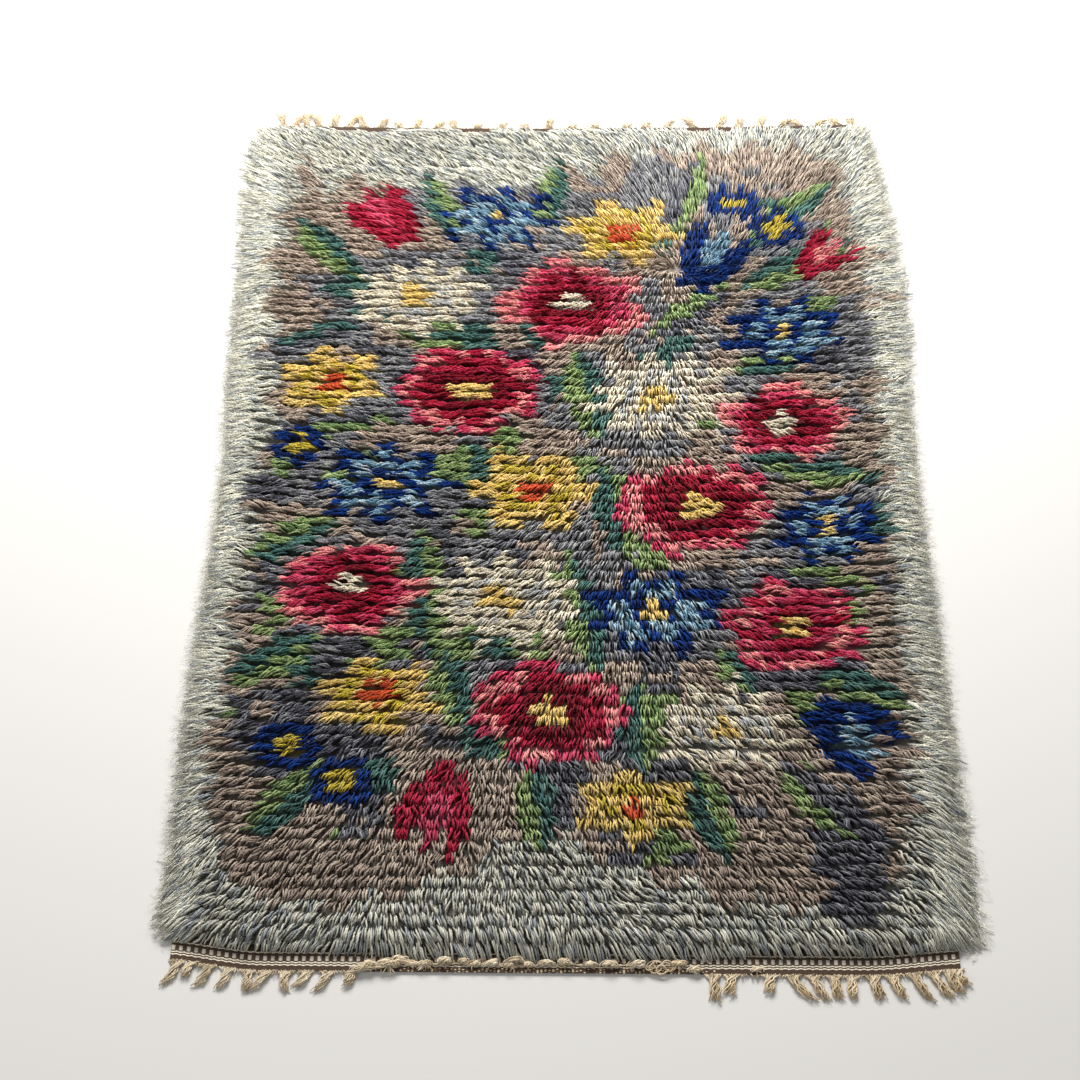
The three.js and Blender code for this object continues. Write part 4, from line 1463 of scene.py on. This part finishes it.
# %% The free bunches
def free_bunch(x, length, lean, edge, outward, loose, count):
    """Paths of one bunch's ends, from inside the cloth's edge to their frayed tips."""
    longest = fringe_random.uniform(0.74, 1.0, (count, 1))
    longest[::3] = fringe_random.uniform(0.92, 1.06, longest[::3].shape)
    s = BUNCH_STATIONS[None, :] * longest
    order = np.linspace(-1, 1, count)[:, None]
    turn = np.arccos(order) * np.where(np.arange(count)[:, None] % 2, 1, -1) + 3.4 * s
    gathered = smooth_step(-0.04, 0.32, s)
    body = 0.78 + 0.4 * np.sin(np.pi * np.clip(1.1 * s, 0, 1)) - 0.1 * smooth_step(0.8, 1.0, s)
    radius = BUNCH_RADIUS * (body + loose * smooth_step(0.3, 1.0, s))
    radius = radius * fringe_random.uniform(0.55, 1.1, (count, 1))
    stray = fringe_random.normal(0, 1.3 + 1.8 * loose, (count, 1)) * smooth_step(0.5, 1.05, s) ** 2
    aside = (1 - gathered) * BUNCH_HALF_WIDTH * order + gathered * radius * np.cos(turn) + stray
    bend = fringe_random.normal(0, 1.5)
    centre = x + lean * s ** 1.3 + bend * np.sin(np.pi * np.clip(s, 0, 1))
    lift = (1 - gathered) * 1.7 + gathered * (radius * (0.62 + 0.5 * np.sin(turn)) + 0.9)
    lift = lift * (1 - 0.3 * smooth_step(0.6, 1.0, s))
    run = edge(x) + outward * (length * s - 1.2)
    phase = fringe_random.uniform(0, 1, (count, 1))
    ripple = 1.4 * gathered * np.sin(2 * np.pi * (s * 2.6 + phase))
    heave = 0.6 * gathered * np.cos(2 * np.pi * (s * 2.2 + phase))
    return np.stack([centre + aside + ripple, run, np.maximum(lift + heave, 1.3 * WARP_RADIUS)], axis=-1)


def bunches(table, edge, outward, loose, count=ENDS_PER_BUNCH):
    return np.concatenate([
        free_bunch(x, length, lean, edge, outward, loose, count) for x, length, lean in table
    ])


left_fringe = fringe_piece(
    "near_fringe_left_bunches", "near_fringe_left", bunches(LEFT_BUNCHES, near_edge, -1, loose=0.4),
    sides=4, warmth=0.1
)
right_fringe = fringe_piece(
    "near_fringe_right_bunches", "near_fringe_right", bunches(RIGHT_BUNCHES, near_edge, -1, loose=0.7),
    sides=4, warmth=0.4
)

# %% [markdown]
# At the far end the bunches are pale and fluffy, painted paler still as painted light, longer towards the
# corners and worn away near the middle. Between them, and between the near bunches too, the warp is cut
# short all along the edge.

# %% Bunches at the far end, and stubs between bunches
FAR_BUNCHES = [
    # x of the root, length, lean
    (-444, 34, -8), (-426, 30, 12), (-408, 35, 6), (-388, 31, -10), (-366, 36, 4), (-342, 28, 14),
    (-318, 34, -12), (-292, 24, 10), (-262, 18, -6), (-236, 26, 8), (-204, 17, 10), (-176, 22, -8),
    (-140, 12, 6), (-104, 16, 9), (-62, 12, -8), (-30, 27, 5), (2, 12, 8), (44, 13, -7), (86, 12, 9),
    (118, 16, 10), (152, 20, 14), (196, 26, -18), (232, 32, 12), (264, 24, 6), (296, 29, 10), (332, 17, 16),
    (358, 16, -14), (388, 14, 12), (420, 18, -10), (442, 21, -6),
]
STUB_COURSE = np.array([0.0, 0.3, 0.65, 1.0])
# the far bunches and stubs are lifted most, as painted light
far_fringe = fringe_piece(
    "far_fringe_bunches", "far_fringe", bunches(FAR_BUNCHES, far_edge, 1, loose=1.2, count=13),
    sides=3, warmth=0.3, radius=0.62, paler_tone_and_painted_light=1.35
)


def stubs(start, end, count, longest, edge, outward):
    """Short single ends at random places along an edge."""
    x = np.sort(fringe_random.uniform(start, end, count))
    long = fringe_random.uniform(0.35, 1, count)[:, None] * longest * STUB_COURSE
    way = fringe_random.normal(0, 0.5, count)[:, None]
    lift = fringe_random.uniform(0.5, 3.0, count)[:, None] * STUB_COURSE
    return np.stack([
        x[:, None] + long * np.sin(way),
        edge(x)[:, None] + outward * (long * np.cos(way) - 1),
        1.6 + lift * (2 - STUB_COURSE),
    ], axis=-1)


far_stubs = fringe_piece(
    "far_fringe_stubs", "far_fringe", stubs(-447, 447, 260, 8, far_edge, 1),
    sides=3, warmth=0.2, radius=0.6, paler_tone_and_painted_light=1.2
)
left_stubs = fringe_piece(
    "near_fringe_left_stubs", "near_fringe_left", stubs(-447, -250, 150, 8, near_edge, -1),
    sides=3, warmth=0.0, radius=0.7
)
right_stubs = fringe_piece(
    "near_fringe_right_stubs", "near_fringe_right", stubs(165, 447, 190, 7, near_edge, -1),
    sides=3, warmth=0.2, radius=0.7
)

# %% [markdown]
# Along the middle of the near end the bunches are folded back on to the heading and caught there
# with one long pale yarn. A folded bunch, seen from a step away, is a half-moon: its ends arch side by
# side from the yarn and back to it, the inner ones higher. Some have worked loose, and their short
# frayed ends fan out below.

# %% Folded bunches on the heading
FOLDED_BUNCHES = [
    # x, how far in from the edge the flat side lies, size, how many frayed ends
    (-233, 0, 1.2, 8), (-220, 3, 1.5, 9), (-199, 4, 1.7, 14), (-186, 11, 1.4, 6), (-172, 6, 0.9, 10),
    (-158, 6, 1.4, 16), (-134, 8, 1.5, 7), (-113, 10, 0.8, 2), (-102, 6, 1.1, 8), (-84, 7, 1.2, 9),
    (-60, 5, 1.0, 12), (-56, 10, 1.5, 8), (-39, 6, 1.0, 6), (-18, 8, 1.25, 2), (5, 8, 1.35, 4),
    (31, 7, 1.15, 2), (54, 6, 1.3, 4), (82, 6, 1.5, 5), (131, 8, 1.3, 5), (149, 2, 1.0, 12), (219, 3, 0.9, 8),
]
FOLD_ENDS = 15
FOLD_STATIONS = 9
FOLD_HALF_SIZE = np.array([6.9, 5.0, 3.5])
FRAYED_LENGTH = (4.0, 9.0)
FRAYED_STATIONS = 5
LYING = CLOTH_THICK + 0.7


def folded_bunch(x, inwards, size, _):
    """Arches of one folded bunch, from its outer end round and back."""
    turn = np.linspace(0, np.pi, FOLD_STATIONS)[None, :]
    place = np.linspace(0.12, 1, FOLD_ENDS)[:, None] ** 0.7
    place = place * fringe_random.uniform(0.75, 1.2, (FOLD_ENDS, 1))
    wide, deep, high = size * FOLD_HALF_SIZE * fringe_random.uniform(0.78, 1.22, 3)
    wave = 1.2 * np.sin(3 * turn + fringe_random.uniform(0, 2 * np.pi, (FOLD_ENDS, 1)))
    lean = fringe_random.normal(0, 0.3) + fringe_random.normal(0, 0.25, (FOLD_ENDS, 1))
    shift = fringe_random.normal(0, 1.3, (FOLD_ENDS, 1))
    height = high * np.sqrt(np.clip(1.1 - place ** 2, 0, 1)) * (0.55 + 0.45 * np.sin(turn))
    return np.stack([
        x + shift + wide * place * np.cos(turn) + (lean * deep + wave) * np.sin(turn),
        near_edge(x) + inwards + deep * place * np.sin(turn) + 0.7 * wave,
        LYING + height + 0.5 + 0.5 * wave,
    ], axis=-1)


def frayed_ends(x, inwards, size, count):
    """Ends that fan out from the flat side of a folded bunch, mostly towards the edge."""
    s = np.linspace(0, 1, FRAYED_STATIONS)[None, :]
    bearing = fringe_random.uniform(-1.1, 0.1, (count, 1)) * np.pi
    long = size * fringe_random.uniform(*FRAYED_LENGTH, (count, 1))
    swerve = fringe_random.normal(0, 0.5, (count, 1)) * s
    return np.stack([
        x + long * s * np.cos(bearing + swerve),
        near_edge(x) + inwards + 1.5 + 0.7 * long * s * np.sin(bearing + swerve),
        LYING + 2.6 * (1 - s ** 2) + 0 * bearing,
    ], axis=-1)


# %% Put the folded bunches in place
folded = np.concatenate([folded_bunch(*row) for row in FOLDED_BUNCHES])
folded_fringe = fringe_piece(
    "near_fringe_folded_bunches", "near_fringe_knots", folded, sides=4, warmth=0.0, radius=0.7, paler_tone_and_painted_light=1.08
)
frayed = np.concatenate([frayed_ends(*row) for row in FOLDED_BUNCHES if row[3]])
frayed_fringe = fringe_piece(
    "near_fringe_frayed_ends", "near_fringe_knots", frayed, sides=4, warmth=0.1, radius=0.6, paler_tone_and_painted_light=1.1
)

# %% [markdown]
# The long yarn that catches them lies along the heading in small waves. At its left end a few bunches
# have matted into one mass, which starts at the edge and climbs over the heading. Its ends run side by
# side under the folded bunches, come out of it and go back in.

# %% The catching yarn and the matted bunches
CAUGHT_FROM = -172.0
CAUGHT_TO = 128.0
MATTED_COURSE = [
    # x, how far in from the edge, height, half thickness
    (-247, -3, 2.2, 1.6), (-241, -1, 3.2, 2.4), (-233, 1, 4.4, 3.4), (-226, 3, 4.8, 2.0), (-218, 4, 5.2, 3.6),
    (-210, 5, 5.0, 2.2), (-203, 7, 5.4, 3.8), (-195, 9, 5.4, 2.4), (-187, 11, 5.6, 3.6), (-179, 11, 5.0, 1.8),
    (-172, 10, 4.8, 2.4), (-164, 8, 4.4, 1.4),
]
MATTED_ENDS = 14

caught_x = np.linspace(CAUGHT_FROM, CAUGHT_TO, 121)
caught_in = 7.8 + 0.7 * np.sin(caught_x / 5.2) + 0.8 * np.sin(caught_x / 23)
caught_z = LYING + 0.5 + 0.3 * np.sin(caught_x / 3.1)
caught = np.stack([caught_x, near_edge(caught_x) + caught_in, caught_z], axis=-1)
catching_yarn = fringe_piece(
    "near_fringe_catching_yarn", "near_fringe_knots", caught[None], sides=5, warmth=0.0, radius=0.8
)

matted_x, matted_in, matted_z, matted_half = np.array(MATTED_COURSE).T
strand = np.arange(MATTED_ENDS)[:, None] / MATTED_ENDS * 2 * np.pi
matted_turn = strand + np.linspace(0, 4, len(MATTED_COURSE)) + fringe_random.normal(0, 0.25, (MATTED_ENDS, 1))
matted_body = matted_half * fringe_random.uniform(0.55, 1.3, (MATTED_ENDS, len(MATTED_COURSE)))
matted = np.stack([
    matted_x + 0.6 * matted_body * np.cos(matted_turn),
    near_edge(matted_x) + matted_in + matted_body * np.cos(matted_turn),
    np.maximum(matted_z + 0.9 * matted_body * np.sin(matted_turn), np.where(matted_in < 0, 1.2, LYING)),
], axis=-1)
matted_fringe = fringe_piece(
    "near_fringe_matted_bunches", "near_fringe_knots", matted, sides=4, warmth=0.1, radius=0.85, paler_tone_and_painted_light=1.1
)

# %% [markdown]
# Right of the middle one bunch has opened into thin loops, which hang a little over the edge.

# %% The loops
LOOPS = [
    # x and distance from the edge of the middle, radius, lean
    (100, 8, 5.6, 0.5), (105, 6, 6.8, 0.2), (109, 8, 6.0, -0.4), (114, 5, 6.6, 0.3), (119, 8, 5.8, -0.2),
    (123, 6, 5.0, 0.4), (111, 3, 5.4, 0.0),
]
loop_turn = np.linspace(0.2, 2 * np.pi - 0.2, 17)
loops = np.stack([
    np.stack([
        x + radius * np.cos(loop_turn) + lean * radius * np.sin(loop_turn),
        near_edge(x) + inwards + 0.9 * radius * np.sin(loop_turn),
        LYING + 2.4 + 2.0 * np.sin(loop_turn + 2 * lean),
    ], axis=-1)
    for x, inwards, radius, lean in LOOPS
])
loose_loops = fringe_piece(
    "near_fringe_loose_loops", "near_fringe_knots", loops, sides=4, warmth=0.3, radius=0.8
)

# %% [markdown]
# ## What lies flat
# The ground and the headings are sheets of cloth.

print("the ground and the headings are sheets of cloth")

# %% [markdown]
# ## Stage
# A plain pale floor and soft light: a large lamp high behind the rug, as a window would give, a
# weaker one from the near side, and an even grey sky.

# %% Floor and light
FLOOR_SIZE = 12.0
FLOOR_COLOUR = "#C8C7C5"

bpy.ops.mesh.primitive_plane_add(size=FLOOR_SIZE)
floor = bpy.context.active_object
floor.name = "floor"
floor_paint, floor_tree = new_material("pale_floor_paint")
floor_shader = add_node(
    floor_tree, "ShaderNodeBsdfPrincipled", Base_Color=(*linear(FLOOR_COLOUR), 1), Roughness=0.7
)
add_node(floor_tree, "ShaderNodeOutputMaterial", Surface=floor_shader)
floor.data.materials.append(floor_paint)


def area_lamp(name, place, aim, size, watts, colour):
    lamp_data = bpy.data.lights.new(name, "AREA")
    lamp_data.shape = "RECTANGLE"
    lamp_data.size, lamp_data.size_y = size
    lamp_data.energy = watts
    lamp_data.color = linear(colour)
    lamp = bpy.data.objects.new(name, lamp_data)
    bpy.context.scene.collection.objects.link(lamp)
    lamp.location = place
    way = np.array(aim, float) - np.array(place, float)
    flat_length = math.hypot(way[0], way[1])
    lamp.rotation_euler = (math.atan2(flat_length, -way[2]), 0, math.atan2(-way[0], way[1]))


LAMP_COLOUR = "#FFFDF9"
SKY_COLOUR = (1.0, 0.99, 0.975, 1)
SKY_STRENGTH = 0.34

area_lamp("window", (-0.1, 1.9, 1.75), aim=(0, 0.1, 0), size=(1.6, 1.0), watts=158, colour=LAMP_COLOUR)
area_lamp("near_fill", (-1.8, -2.0, 2.0), aim=(0, -0.3, 0), size=(2.4, 1.6), watts=15, colour=LAMP_COLOUR)
world = bpy.data.worlds.new("sky")
world.use_nodes = True
sky = world.node_tree.nodes["Background"]
sky.inputs["Color"].default_value = SKY_COLOUR
sky.inputs["Strength"].default_value = SKY_STRENGTH
bpy.context.scene.world = world
bpy.context.scene.view_settings.view_transform = "Standard"
print("stage and light are set")
